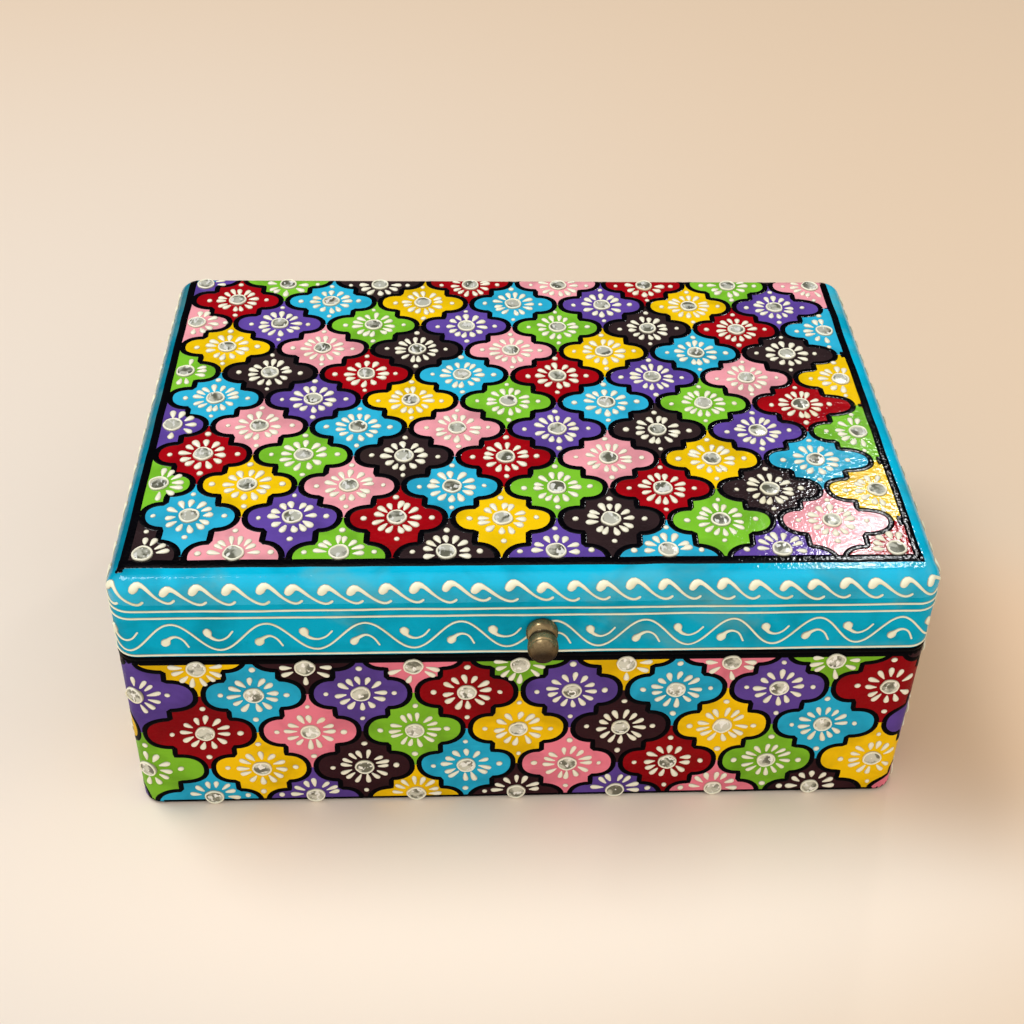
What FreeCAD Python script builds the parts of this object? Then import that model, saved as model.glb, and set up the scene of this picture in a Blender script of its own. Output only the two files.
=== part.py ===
"""Hinged keepsake box of painted wood, with mirrors in its painted flowers and a turned brass knob.

Millimetres, +Z up, +Y to the back. The origin is the middle of the underside.
"""
import FreeCAD, Part
import math
import os
import re

import Sketcher

SIZES = {
    # outside of the closed box
    "box_length": 254.0,
    "box_depth": 170.0,
    "base_height": 68.4,
    "seam_gap": 0.2,
    "lid_height": 31.4,
    "corner_radius": 7.0,
    "top_round": 5.0,
    "bottom_round": 1.5,
    # boards
    "wall_thickness": 10.0,
    "top_thickness": 8.0,
    "floor_thickness": 5.0,
    "floor_rebate": 5.0,
    "board_clearance": 0.1,
    "overrun": 2.0,
    # brads
    "brad_diameter": 1.2,
    "brad_clearance": 0.05,
    "brad_set_depth": 1.0,
    "brad_length": 20.0,
    "floor_brad_length": 14.0,
    "floor_brad_spacing": 56.0,
    "board_brad_spacing": 60.0,
    # hinges
    "hinge_end_inset": 47.0,
    "hinge_length": 25.0,
    "hinge_inset": 2.8,
    "leaf_width": 8.6,
    "leaf_thickness": 1.0,
    "leaf_clearance": 0.1,
    "barrel_diameter": 4.0,
    "barrel_clearance": 0.4,
    "hinge_pin_diameter": 2.0,
    "hinge_pin_clearance": 0.05,
    "knuckle_gap": 0.25,
    "open_angle": 98.0,
    "stop_spare_angle": 2.0,
    # hinge screws
    "screw_diameter": 1.8,
    "screw_length": 9.0,
    "screw_head_diameter": 3.4,
    "screw_head_height": 0.8,
    "screw_slot_width": 0.4,
    "screw_slot_depth": 0.35,
    "screw_clearance": 0.05,
    "screw_spacing": 15.0,
    "screw_inset": 5.6,
    # knob
    "knob_offset": 3.6,
    "knob_centre_height": 12.0,
    "knob_base_diameter": 9.9,
    "knob_base_bulge_radius": 2.1,
    "knob_neck_diameter": 7.4,
    "knob_head_diameter": 9.5,
    "knob_head_offset": 8.2,
    "knob_screw_diameter": 3.0,
    "knob_screw_clearance": 0.1,
    "knob_screw_bite_depth": 6.0,
    "knob_screw_head_diameter": 6.0,
    "knob_screw_head_height": 1.8,
    "knob_bore_spare_depth": 0.6,
    # felt
    "felt_thickness": 1.2,
    "felt_clearance": 0.3,
    "felt_rim_inset": 3.0,
    # mirrors and the painted lattice that they follow
    "mirror_diameter": 6.0,
    "mirror_thickness": 1.2,
    "glue_thickness": 0.05,
    "mirror_margin": 0.3,
    "panel_front_inset": 10.5,
    "panel_left_inset": 6.6,
    "panel_right_inset": 8.2,
    "panel_back_inset": 1.5,
    "panel_column_pitch": 33.7,
    "panel_row_pitch": 15.2,
    "panel_x_offset": -3.4,
    "panel_y_offset": 4.7,
    "panel_lean_width": 9.0,
    "panel_tilt_height": 2.4,
    "wrap_row_pitch": 17.6,
    "wrap_middle_height": 34.9,
    "wrap_offset": -2.7,
    "wrap_top_inset": 0.4,
    "wrap_corner_drift": 3.5,
    "lid_swing_clearance": 2.0,
}
# how high on the walls and on the rails the brads of the corner joints sit
WALL_BRAD_SHARES = (0.2, 0.5, 0.8)
RAIL_BRAD_SHARES = (0.3, 0.75)
PANEL_LEAN_MIDDLE_SHARE = 0.64
EDGE_TEST_SHARE = 0.001
WRAP_COLUMNS = 25
CORNER_DRIFT_SHARE = 0.55
WRAP_ROWS = (-2, -1, 0, 1, 2)
HINGE_SIDES = {"left": -1, "right": 1}
KNUCKLES = 3

doc = FreeCAD.newDocument("keepsake_box")
sheet = doc.addObject("Spreadsheet::Sheet", "dim")
for row, (alias, value) in enumerate(SIZES.items(), start=1):
    sheet.set("A%d" % row, alias)
    sheet.set("B%d" % row, str(value))
    sheet.setAlias("B%d" % row, alias)
doc.recompute()

nodes = []


def size(name):
    """One driving dimension, read from the sheet."""
    return float(sheet.get(name))


def formula(words):
    """A sum written in plain size names, with each name pointed at the sheet."""
    return re.sub(r"[a-z][a-z_]+", lambda m: "dim." + m.group() if m.group() in SIZES else m.group(), words)


def bind(item, prop, words):
    item.setExpression(prop, formula(words))


def place(item, x="0", y="0", z="0", axis=None, angle="0"):
    """Bind an object's place, and its turn about an axis where it has one."""
    if axis:
        item.Placement = FreeCAD.Placement(FreeCAD.Vector(), FreeCAD.Rotation(FreeCAD.Vector(*axis), 1))
        bind(item, "Placement.Rotation.Angle", angle)
    bind(item, "Placement.Base.x", x)
    bind(item, "Placement.Base.y", y)
    bind(item, "Placement.Base.z", z)
    return item


def block(name, length, width, height, x, y, z):
    """A board whose low corner is at x, y, z."""
    item = doc.addObject("Part::Box", name)
    bind(item, "Length", length)
    bind(item, "Width", width)
    bind(item, "Height", height)
    return place(item, x, y, z)


def centred_block(name, length, width, height, z, y="0"):
    return block(name, length, width, height, "-(%s) / 2" % length, "%s - (%s) / 2" % (y, width), z)


def rod(name, diameter, length, x, y, z, axis=None, angle="0"):
    """A round bar that starts at x, y, z and runs up, or along the turned axis."""
    item = doc.addObject("Part::Cylinder", name)
    bind(item, "Radius", "(%s) / 2" % diameter)
    bind(item, "Height", length)
    return place(item, x, y, z, axis, angle)


def cut(name, base, *tools):
    for number, tool in enumerate(tools, start=1):
        step = doc.addObject("Part::Cut", name if number == len(tools) else "%s_cut_%d" % (name, number))
        step.Base = base
        step.Tool = tool
        base = step
    return base


def common(name, base, tool):
    item = doc.addObject("Part::Common", name)
    item.Base = base
    item.Tool = tool
    return item


def fuse(name, *shapes):
    item = doc.addObject("Part::MultiFuse", name)
    item.Shapes = list(shapes)
    item.Refine = True
    return item


def group(name, shapes):
    """Several like solids as one object, with their sizes read from the sheet."""
    item = doc.addObject("Part::Feature", name)
    item.Shape = Part.makeCompound(shapes)
    return item


def node(item, label):
    """Name a finished piece; the label is its file's name."""
    item.Label = label
    nodes.append(item)
    return item


def edge_names(shape, test):
    return ["Edge%d" % n for n, edge in enumerate(shape.Edges, start=1) if test(edge.BoundBox)]


def rounded_block(name, height, rounded_end, end_radius):
    """The whole outside of the base or the lid: rounded corners, and one rounded end."""
    body = doc.addObject("PartDesign::Body", name)
    plan = body.newObject("Sketcher::SketchObject", name + "_plan")
    floor_plane = [f for f in body.Origin.OriginFeatures if f.Role == "XY_Plane"][0]
    plan.AttachmentSupport = (floor_plane, [""])
    plan.MapMode = "FlatFace"
    half_length = size("box_length") / 2
    half_depth = size("box_depth") / 2
    corners = [(-half_length, -half_depth), (half_length, -half_depth),
               (half_length, half_depth), (-half_length, half_depth)]
    for n, start in enumerate(corners):
        end = corners[(n + 1) % len(corners)]
        plan.addGeometry(Part.LineSegment(FreeCAD.Vector(*start), FreeCAD.Vector(*end)), False)
    for n in range(len(corners)):
        plan.addConstraint(Sketcher.Constraint("Coincident", n, 2, (n + 1) % len(corners), 1))
        plan.addConstraint(Sketcher.Constraint("Vertical" if n % 2 else "Horizontal", n))
    plan.addConstraint(Sketcher.Constraint("Symmetric", 0, 1, 1, 2, -1, 1))
    along = plan.addConstraint(Sketcher.Constraint("DistanceX", 0, 1, 0, 2, 2 * half_length))
    across = plan.addConstraint(Sketcher.Constraint("DistanceY", 1, 1, 1, 2, 2 * half_depth))
    bind(plan, "Constraints[%d]" % along, "box_length")
    bind(plan, "Constraints[%d]" % across, "box_depth")
    pad = body.newObject("PartDesign::Pad", name + "_pad")
    pad.Profile = plan
    bind(pad, "Length", height)
    doc.recompute()
    tall = size(height)
    corner = body.newObject("PartDesign::Fillet", name + "_corners")
    corner.Base = (pad, edge_names(pad.Shape, lambda b: b.ZLength > tall / 2))
    bind(corner, "Radius", "corner_radius")
    doc.recompute()
    end_z = tall if rounded_end == "top" else 0
    near = tall * EDGE_TEST_SHARE
    ring = edge_names(corner.Shape, lambda b: b.ZLength < near and abs(b.ZMin - end_z) < near)
    end = body.newObject("PartDesign::Fillet", name + "_round")
    end.Base = (corner, ring)
    bind(end, "Radius", end_radius)
    doc.recompute()
    return body


def spread(reach, spacing):
    """Evenly spaced places within plus and minus reach, about the given distance apart."""
    gaps = max(1, round(2 * reach / spacing))
    return [-reach + 2 * reach * n / gaps for n in range(gaps + 1)]


def brads(places, direction, length, spare=0):
    """Plain headless nails; spare widens and is used for their holes."""
    radius = size("brad_diameter") / 2 + spare
    return [Part.makeCylinder(radius, length, FreeCAD.Vector(*p), FreeCAD.Vector(*direction)) for p in places]


def brad_set(name, runs):
    """Brads of one name and the holes that they stand in. A run is places, a direction and a length."""
    pins = []
    holes = []
    for places, direction, length in runs:
        pins += brads(places, direction, length)
        holes += brads(places, direction, length, size("brad_clearance"))
    return node(group(name, pins), name), group(name + "_holes", holes)


half_length = size("box_length") / 2
half_depth = size("box_depth") / 2
wall = size("wall_thickness")
lid_bottom = size("base_height") + size("seam_gap")
lid_top = lid_bottom + size("lid_height")

# Base: four butted walls around a floor that is let into a rebate from below.
base_block = rounded_block("base_block", "base_height", "bottom", "bottom_round")
INSIDE_LENGTH = "box_length - 2 * wall_thickness"
INSIDE_DEPTH = "box_depth - 2 * wall_thickness"
RECESS_LENGTH = INSIDE_LENGTH + " + 2 * floor_rebate"
RECESS_DEPTH = INSIDE_DEPTH + " + 2 * floor_rebate"
base_cavity = centred_block("base_cavity", INSIDE_LENGTH, INSIDE_DEPTH,
                            "base_height + 2 * overrun", "-overrun")
floor_recess = centred_block("floor_recess", RECESS_LENGTH, RECESS_DEPTH,
                             "floor_thickness + overrun", "-overrun")
base_shell = cut("base_shell", base_block, base_cavity, floor_recess)



def corner_brads(heights):
    """Runs of brads through the front and the back into the ends of the side pieces."""
    x = half_length - wall / 2
    y = half_depth - size("brad_set_depth")
    runs = []
    for face in (-1, 1):
        places = [(side * x, face * y, z) for side in (-1, 1) for z in heights]
        runs.append((places, (0, -face, 0), size("brad_length")))
    return runs


base_brads, base_brad_holes = brad_set(
    "base_wall_brads", corner_brads([share * size("base_height") for share in WALL_BRAD_SHARES]))

floor_line_x = half_length - wall + size("floor_rebate") / 2
floor_line_y = half_depth - wall + size("floor_rebate") / 2
floor_brad_places = [(x, side * floor_line_y, 0) for side in (-1, 1)
                     for x in spread(half_length - 2 * wall, size("floor_brad_spacing"))]
floor_brad_places += [(side * floor_line_x, y, 0) for side in (-1, 1)
                      for y in spread(half_depth - 3 * wall, size("floor_brad_spacing"))]
floor_brads, floor_brad_holes = brad_set(
    "floor_brads", [(floor_brad_places, (0, 0, 1), size("floor_brad_length"))])

SLABS = {
    "front": ("box_length", "wall_thickness", "-box_length / 2", "-box_depth / 2"),
    "back": ("box_length", "wall_thickness", "-box_length / 2", "box_depth / 2 - wall_thickness"),
    "left": ("wall_thickness", INSIDE_DEPTH, "-box_length / 2", "wall_thickness - box_depth / 2"),
    "right": ("wall_thickness", INSIDE_DEPTH, "box_length / 2 - wall_thickness",
              "wall_thickness - box_depth / 2"),
}


def ring_piece(name, shell, side, height, z):
    """One straight piece of a ring of walls or rails."""
    length, width, x, y = SLABS[side]
    return common(name, shell, block(name + "_slab", length, width, height, x, y, z))


# Hinge line: it lies in the seam, a little in front of the back face. The rims behind it are bevelled, and
# the bevels meet when the lid is open, which stops it.
HINGE_Y = "box_depth / 2 - hinge_inset"
HINGE_Z = "base_height + seam_gap / 2"
BEVEL = "(open_angle + stop_spare_angle) / 2"


def bevel_tool(name, turn):
    tool = doc.addObject("Part::Box", name)
    bind(tool, "Length", "box_length + 2 * overrun")
    bind(tool, "Width", "2 * wall_thickness")
    bind(tool, "Height", "2 * wall_thickness")
    return place(tool, "-box_length / 2 - overrun", HINGE_Y, HINGE_Z, (1, 0, 0), turn)


def hinge_x(side):
    return "%d * (box_length / 2 - hinge_end_inset)" % HINGE_SIDES[side]


def hinge_seat(name, side, plate_z):
    """The room that a hinge takes out of a rim: a seat for the leaf and a trough for the barrel."""
    length = "hinge_length + 2 * leaf_clearance"
    seat_y = HINGE_Y + " - leaf_width - leaf_clearance"
    seat = block(name + "_seat", length, "leaf_width + leaf_clearance", "leaf_thickness + leaf_clearance",
                 "%s - (%s) / 2" % (hinge_x(side), length), seat_y, plate_z)
    trough_length = "hinge_length + 2 * barrel_clearance"
    trough = rod(name + "_trough", "barrel_diameter + 2 * barrel_clearance", trough_length,
                 "%s - (%s) / 2" % (hinge_x(side), trough_length), HINGE_Y, HINGE_Z, (0, 1, 0), "90")
    return fuse(name, seat, trough)


BASE_SEAT_Z = "base_height - leaf_thickness - leaf_clearance"
BASE_PLATE_Z = "base_height - leaf_thickness"


def screw_shape(up, grow=0):
    """A countersunk wood screw with its head at the origin; grow makes the hole that it stands in."""
    shank = size("screw_diameter") / 2 + grow
    head = size("screw_head_diameter") / 2 + grow
    depth = size("screw_head_height")
    way = FreeCAD.Vector(0, 0, 1 if up else -1)
    cone = Part.makeCone(head, shank, depth, FreeCAD.Vector(), way)
    body = Part.makeCylinder(shank, size("screw_length"), FreeCAD.Vector(), way)
    whole = cone.fuse(body).removeSplitter()
    if grow:
        return whole
    width = size("screw_slot_width")
    deep = size("screw_slot_depth")
    slot = Part.makeBox(2 * head, width, deep, FreeCAD.Vector(-head, -width / 2, 0 if up else -deep))
    return whole.cut(slot)


def screw_group(name, z, up):
    y = half_depth - size("hinge_inset") - size("screw_inset")
    middle = half_length - size("hinge_end_inset")
    spots = [FreeCAD.Vector(side * middle + end * size("screw_spacing") / 2, y, z)
             for side in HINGE_SIDES.values() for end in (-1, 1)]
    screws = [screw_shape(up).translated(spot) for spot in spots]
    holes = [screw_shape(up, size("screw_clearance")).translated(spot) for spot in spots]
    return node(group(name, screws), name), group(name + "_holes", holes)


base_screws, base_screw_holes = screw_group("hinge_base_screws", size("base_height"), False)
lid_screws, lid_screw_holes = screw_group("hinge_lid_screws", lid_bottom, True)

base_bevel = bevel_tool("base_bevel", "-" + BEVEL)
base_seats = [hinge_seat("%s_base_seat" % side, side, BASE_SEAT_Z) for side in HINGE_SIDES]
for side in SLABS:
    plain = ring_piece("base_%s_plain" % side, base_shell, side, "base_height", "0")
    tools = [base_brad_holes, floor_brad_holes]
    if side == "back":
        tools += [base_bevel, *base_seats, base_screw_holes]
    node(cut("base_%s" % side, plain, *tools), "base_%s_wall" % side)

floor_plain = centred_block("floor_plain", RECESS_LENGTH + " - 2 * board_clearance",
                            RECESS_DEPTH + " - 2 * board_clearance", "floor_thickness", "0")
node(cut("floor", floor_plain, floor_brad_holes), "base_floor")

# Lid: four butted rails under a full-size top board.
lid_block = rounded_block("lid_block", "lid_height", "top", "top_round")
LID_BOTTOM = "base_height + seam_gap"
place(lid_block, z=LID_BOTTOM)
RAIL_HEIGHT = "lid_height - top_thickness"
BOARD_BOTTOM = LID_BOTTOM + " + " + RAIL_HEIGHT
lid_cavity = centred_block("lid_cavity", INSIDE_LENGTH, INSIDE_DEPTH, RAIL_HEIGHT + " + overrun",
                           LID_BOTTOM + " - overrun")
lid_shell = cut("lid_shell", lid_block, lid_cavity)
top_slab = centred_block("top_slab", "box_length", "box_depth", "top_thickness", BOARD_BOTTOM)
top_plain = common("top_plain", lid_block, top_slab)
rail_height = size("lid_height") - size("top_thickness")
rail_brads, rail_brad_holes = brad_set(
    "lid_rail_brads", corner_brads([lid_bottom + share * rail_height for share in RAIL_BRAD_SHARES]))
board_brad_z = lid_top - size("brad_set_depth")
board_brad_places = [(x, side * (half_depth - wall / 2), board_brad_z) for side in (-1, 1)
                     for x in spread(half_length - 2 * wall, size("board_brad_spacing"))]
board_brad_places += [(side * (half_length - wall / 2), y, board_brad_z) for side in (-1, 1)
                      for y in spread(half_depth - 3 * wall, size("board_brad_spacing"))]
board_brads, board_brad_holes = brad_set(
    "lid_board_brads", [(board_brad_places, (0, 0, -1), size("brad_length"))])
node(cut("top_board", top_plain, board_brad_holes), "lid_top_board")

# Knob and its screw, square to the lid's front.
KNOB_Z = LID_BOTTOM + " + knob_centre_height"
TURN_OUT = ((1, 0, 0), "90")
base_core = rod("knob_base_core", "knob_base_diameter - 2 * knob_base_bulge_radius",
                "2 * knob_base_bulge_radius", "0", "0", "0")
base_rim = doc.addObject("Part::Torus", "knob_base_rim")
bind(base_rim, "Radius1", "knob_base_diameter / 2 - knob_base_bulge_radius")
bind(base_rim, "Radius2", "knob_base_bulge_radius")
place(base_rim, z="knob_base_bulge_radius")
neck = rod("knob_neck", "knob_neck_diameter", "knob_head_offset", "0", "0", "0")
head = doc.addObject("Part::Sphere", "knob_head")
bind(head, "Radius", "knob_head_diameter / 2")
place(head, z="knob_head_offset")
knob_solid = fuse("knob_solid", base_core, base_rim, neck, head)
knob_bore = rod("knob_bore", "knob_screw_diameter + 2 * knob_screw_clearance",
                "knob_screw_bite_depth + knob_bore_spare_depth", "0", "0", "0")
knob = cut("knob_piece", knob_solid, knob_bore)
node(place(knob, "knob_offset", "-box_depth / 2", KNOB_Z, *TURN_OUT), "knob")

knob_screw_shank = rod("knob_screw_shank", "knob_screw_diameter", "wall_thickness + knob_screw_bite_depth",
                       "0", "0", "0")
knob_screw_head = rod("knob_screw_head", "knob_screw_head_diameter", "knob_screw_head_height",
                      "0", "0", "-knob_screw_head_height")
knob_screw = fuse("knob_screw_piece", knob_screw_shank, knob_screw_head)
node(place(knob_screw, "knob_offset", "wall_thickness - box_depth / 2", KNOB_Z, *TURN_OUT), "knob_screw")
knob_hole = rod("knob_hole", "knob_screw_diameter + 2 * knob_screw_clearance", "wall_thickness + 2 * overrun",
                "knob_offset", "wall_thickness - box_depth / 2 + overrun", KNOB_Z, *TURN_OUT)

lid_bevel = bevel_tool("lid_bevel", BEVEL + " - 90")
lid_seats = [hinge_seat("%s_lid_seat" % side, side, LID_BOTTOM) for side in HINGE_SIDES]
for side in SLABS:
    plain = ring_piece("lid_%s_plain" % side, lid_shell, side, RAIL_HEIGHT, LID_BOTTOM)
    tools = [rail_brad_holes, board_brad_holes]
    if side == "back":
        tools += [lid_bevel, *lid_seats, lid_screw_holes]
    if side == "front":
        tools.append(knob_hole)
    node(cut("lid_%s" % side, plain, *tools), "lid_%s_rail" % side)

# Hinges: three knuckles, the outer two on the base leaf and the middle one on the lid leaf.
KNUCKLE = "(hinge_length - %d * knuckle_gap) / %d" % (KNUCKLES - 1, KNUCKLES)


def knuckle_start(side, number):
    return "%s - hinge_length / 2 + %d * (%s + knuckle_gap)" % (hinge_x(side), number, KNUCKLE)


def hinge_leaf(name, side, plate_z, numbers, screw_holes):
    """A flat leaf with tongues that end in its own knuckles, bored for the pin and drilled for its screws."""
    plate_end = "barrel_diameter / 2 + knuckle_gap"
    pieces = [block(name + "_plate", "hinge_length", "leaf_width - (%s)" % plate_end, "leaf_thickness",
                    "%s - hinge_length / 2" % hinge_x(side), HINGE_Y + " - leaf_width", plate_z)]
    for number in numbers:
        x = knuckle_start(side, number)
        pieces.append(block("%s_tongue_%d" % (name, number), KNUCKLE, plate_end, "leaf_thickness",
                            x, "%s - (%s)" % (HINGE_Y, plate_end), plate_z))
        pieces.append(rod("%s_knuckle_%d" % (name, number), "barrel_diameter", KNUCKLE, x, HINGE_Y, HINGE_Z,
                          (0, 1, 0), "90"))
    bore = rod(name + "_bore", "hinge_pin_diameter + 2 * hinge_pin_clearance", "hinge_length + 2 * overrun",
               "%s - hinge_length / 2 - overrun" % hinge_x(side), HINGE_Y, HINGE_Z, (0, 1, 0), "90")
    return node(cut(name, fuse(name + "_solid", *pieces), bore, screw_holes), name)


for side in HINGE_SIDES:
    hinge_leaf("%s_hinge_base_leaf" % side, side, BASE_PLATE_Z,
               [n for n in range(KNUCKLES) if n % 2 == 0], base_screw_holes)
    hinge_leaf("%s_hinge_lid_leaf" % side, side, LID_BOTTOM,
               [n for n in range(KNUCKLES) if n % 2], lid_screw_holes)
    pin = rod("%s_hinge_rod" % side, "hinge_pin_diameter", "hinge_length",
              "%s - hinge_length / 2" % hinge_x(side), HINGE_Y, HINGE_Z, (0, 1, 0), "90")
    node(pin, "%s_hinge_pin" % side)

# Felt on the floor, on the four walls and under the lid board.
FELT_LENGTH = INSIDE_LENGTH + " - 2 * felt_clearance"
FELT_DEPTH = INSIDE_DEPTH + " - 2 * felt_clearance"
FELT_FLOOR = "floor_thickness + felt_clearance"
FELT_FOOT = FELT_FLOOR + " + felt_thickness + felt_clearance"
FELT_RISE = "base_height - felt_rim_inset - (%s)" % FELT_FOOT
FELT_SIDE_DEPTH = "%s - 2 * felt_thickness - 2 * felt_clearance" % FELT_DEPTH
node(centred_block("felt_floor", FELT_LENGTH, FELT_DEPTH, "felt_thickness", FELT_FLOOR), "floor_lining")
node(centred_block("felt_lid", FELT_LENGTH, FELT_DEPTH, "felt_thickness",
                   BOARD_BOTTOM + " - felt_clearance - felt_thickness"), "lid_lining")
INNER_Y = "(box_depth / 2 - wall_thickness - felt_clearance)"
INNER_X = "(box_length / 2 - wall_thickness - felt_clearance)"
node(block("felt_front", FELT_LENGTH, "felt_thickness", FELT_RISE, "-(%s) / 2" % FELT_LENGTH, "-" + INNER_Y,
           FELT_FOOT), "front_wall_lining")
node(block("felt_back", FELT_LENGTH, "felt_thickness", FELT_RISE, "-(%s) / 2" % FELT_LENGTH,
           INNER_Y + " - felt_thickness", FELT_FOOT), "back_wall_lining")
node(block("felt_left", "felt_thickness", FELT_SIDE_DEPTH, FELT_RISE, "-" + INNER_X,
           "-(%s) / 2" % FELT_SIDE_DEPTH, FELT_FOOT), "left_wall_lining")
node(block("felt_right", "felt_thickness", FELT_SIDE_DEPTH, FELT_RISE, INNER_X + " - felt_thickness",
           "-(%s) / 2" % FELT_SIDE_DEPTH, FELT_FOOT), "right_wall_lining")


def mirror(point, outward):
    """A round glass chip that lies on a surface, on a thin film of glue."""
    base = FreeCAD.Vector(*point) + FreeCAD.Vector(*outward) * size("glue_thickness")
    radius = size("mirror_diameter") / 2
    return Part.makeCylinder(radius, size("mirror_thickness"), base, FreeCAD.Vector(*outward))


def panel_mirrors():
    """Mirrors of the lid panel: a half-dropped lattice that leans and tilts a little, as painted by hand."""
    keep = size("mirror_diameter") / 2 + size("mirror_margin")
    left = size("panel_left_inset") - half_length
    right = half_length - size("panel_right_inset")
    front = size("panel_front_inset") - half_depth
    back = half_depth - size("top_round")
    pitch_x = size("panel_column_pitch")
    pitch_y = size("panel_row_pitch")
    rows = math.ceil((back - front) / pitch_y)
    columns = math.ceil((right - left) / pitch_x)
    found = []
    for j in range(-rows, rows + 1):
        for i in range(-columns, columns + 1):
            even_x = size("panel_x_offset") + pitch_x * (i + (j % 2) / 2)
            even_y = size("panel_y_offset") + pitch_y * j
            if not (left - keep < even_x < right + keep and front - keep < even_y < back + keep):
                continue
            across = 2 * (even_x - left) / (right - left) - 1
            up = (even_y - front) / (back - front)
            lean = size("panel_lean_width") * (up - PANEL_LEAN_MIDDLE_SHARE)
            x = even_x + lean * math.cos(math.pi / 2 * across)
            y = even_y - size("panel_tilt_height") * across
            x = min(max(x, left + keep), right - keep)
            y = min(y, back - size("panel_back_inset"))
            if y < front + 2 * keep:
                y = front + keep
            found.append(mirror((x, y, lid_top), (0, 0, 1)))
    return found


def wrap_point(along):
    """A place on the outside of the walls; along is measured round them from the middle of the front."""
    radius = size("corner_radius")
    run_x = size("box_length") - 2 * radius
    run_y = size("box_depth") - 2 * radius
    arc = math.pi / 2 * radius
    turn = -math.pi / 2
    x = -run_x / 2
    y = -half_depth
    along = along + run_x / 2
    for run in (run_x, run_y, run_x, run_y):
        way = (-math.sin(turn), math.cos(turn))
        out = (math.cos(turn), math.sin(turn))
        if along <= run:
            return (x + way[0] * along, y + way[1] * along), out
        along -= run
        x += way[0] * run
        y += way[1] * run
        centre = (x - out[0] * radius, y - out[1] * radius)
        if along <= arc:
            angle = turn + along / radius
            out = (math.cos(angle), math.sin(angle))
            return (centre[0] + radius * out[0], centre[1] + radius * out[1]), out
        along -= arc
        turn += math.pi / 2
        x = centre[0] + radius * math.cos(turn)
        y = centre[1] + radius * math.sin(turn)
    return wrap_point(along - run_x / 2)


def corner_drift(along, pitch):
    """How far the flower next to a front corner is drawn towards it."""
    corner = half_length - size("corner_radius")
    part = min(max((abs(along) - corner) / pitch, -CORNER_DRIFT_SHARE), CORNER_DRIFT_SHARE)
    swell = math.cos(math.pi / 2 * part / CORNER_DRIFT_SHARE) ** 2
    return math.copysign(size("wrap_corner_drift") * swell, along)


def wall_mirrors():
    """Mirrors of the base walls, by the wall that they face; at the back they clear the open lid."""
    radius = size("corner_radius")
    rim = 2 * (size("box_length") + size("box_depth") - 4 * radius) + 2 * math.pi * radius
    pitch = rim / WRAP_COLUMNS
    keep = size("mirror_diameter") / 2
    low = keep + size("mirror_margin")
    rim_top = size("base_height") - keep - size("mirror_margin")
    bevel = math.radians((size("open_angle") + size("stop_spare_angle")) / 2)
    high = {side: rim_top - size("wrap_top_inset") for side in SLABS}
    high["back"] = rim_top - size("hinge_inset") * math.tan(bevel) - size("lid_swing_clearance")
    found = {side: [] for side in SLABS}
    for j in WRAP_ROWS:
        row_z = size("wrap_middle_height") + j * size("wrap_row_pitch")
        for i in range(WRAP_COLUMNS):
            along = (size("wrap_offset") + pitch * (i + (j % 2) / 2) + rim / 2) % rim - rim / 2
            along = (along + corner_drift(along, pitch)) % rim
            (x, y), out = wrap_point(along)
            if abs(out[0]) > abs(out[1]):
                side = "right" if out[0] > 0 else "left"
            else:
                side = "back" if out[1] > 0 else "front"
            z = min(max(row_z, low), high[side])
            found[side].append(mirror((x, y, z), (out[0], out[1], 0)))
    return found


node(group("panel_glass", panel_mirrors()), "top_mirrors")
for side, chips in wall_mirrors().items():
    node(group(side + "_glass", chips), side + "_mirrors")

doc.recompute()
for item in doc.Objects:
    if "Invalid" in item.State or "Error" in item.State:
        raise RuntimeError("%s did not build: %s" % (item.Label, item.State))
for item in nodes:
    if item.Shape.isNull() or not item.Shape.isValid() or not item.Shape.Solids:
        raise RuntimeError("%s has no sound solid" % item.Label)

os.makedirs("parts", exist_ok=True)
for item in nodes:
    item.Shape.exportStep("parts/%s.step" % item.Label)
    print("%-24s %3d solids %12.1f mm3" % (item.Label, len(item.Shape.Solids), item.Shape.Volume))
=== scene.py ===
"""Looks of a painted keepsake box on its CAD frame: tiles, raised paint, mirrors, brass, felt and a studio.

Metres, +Z up, +Y to the back. Paint is laid out in flat coordinates: x and y on the lid's panel, and on the
sides the distance round the box from the middle of its front, with the rise up the wall.
"""
import math
import random

import bmesh
import bpy
from bpy.props import FloatProperty, FloatVectorProperty, IntProperty, PointerProperty
from mathutils import Matrix, Vector, noise


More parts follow.
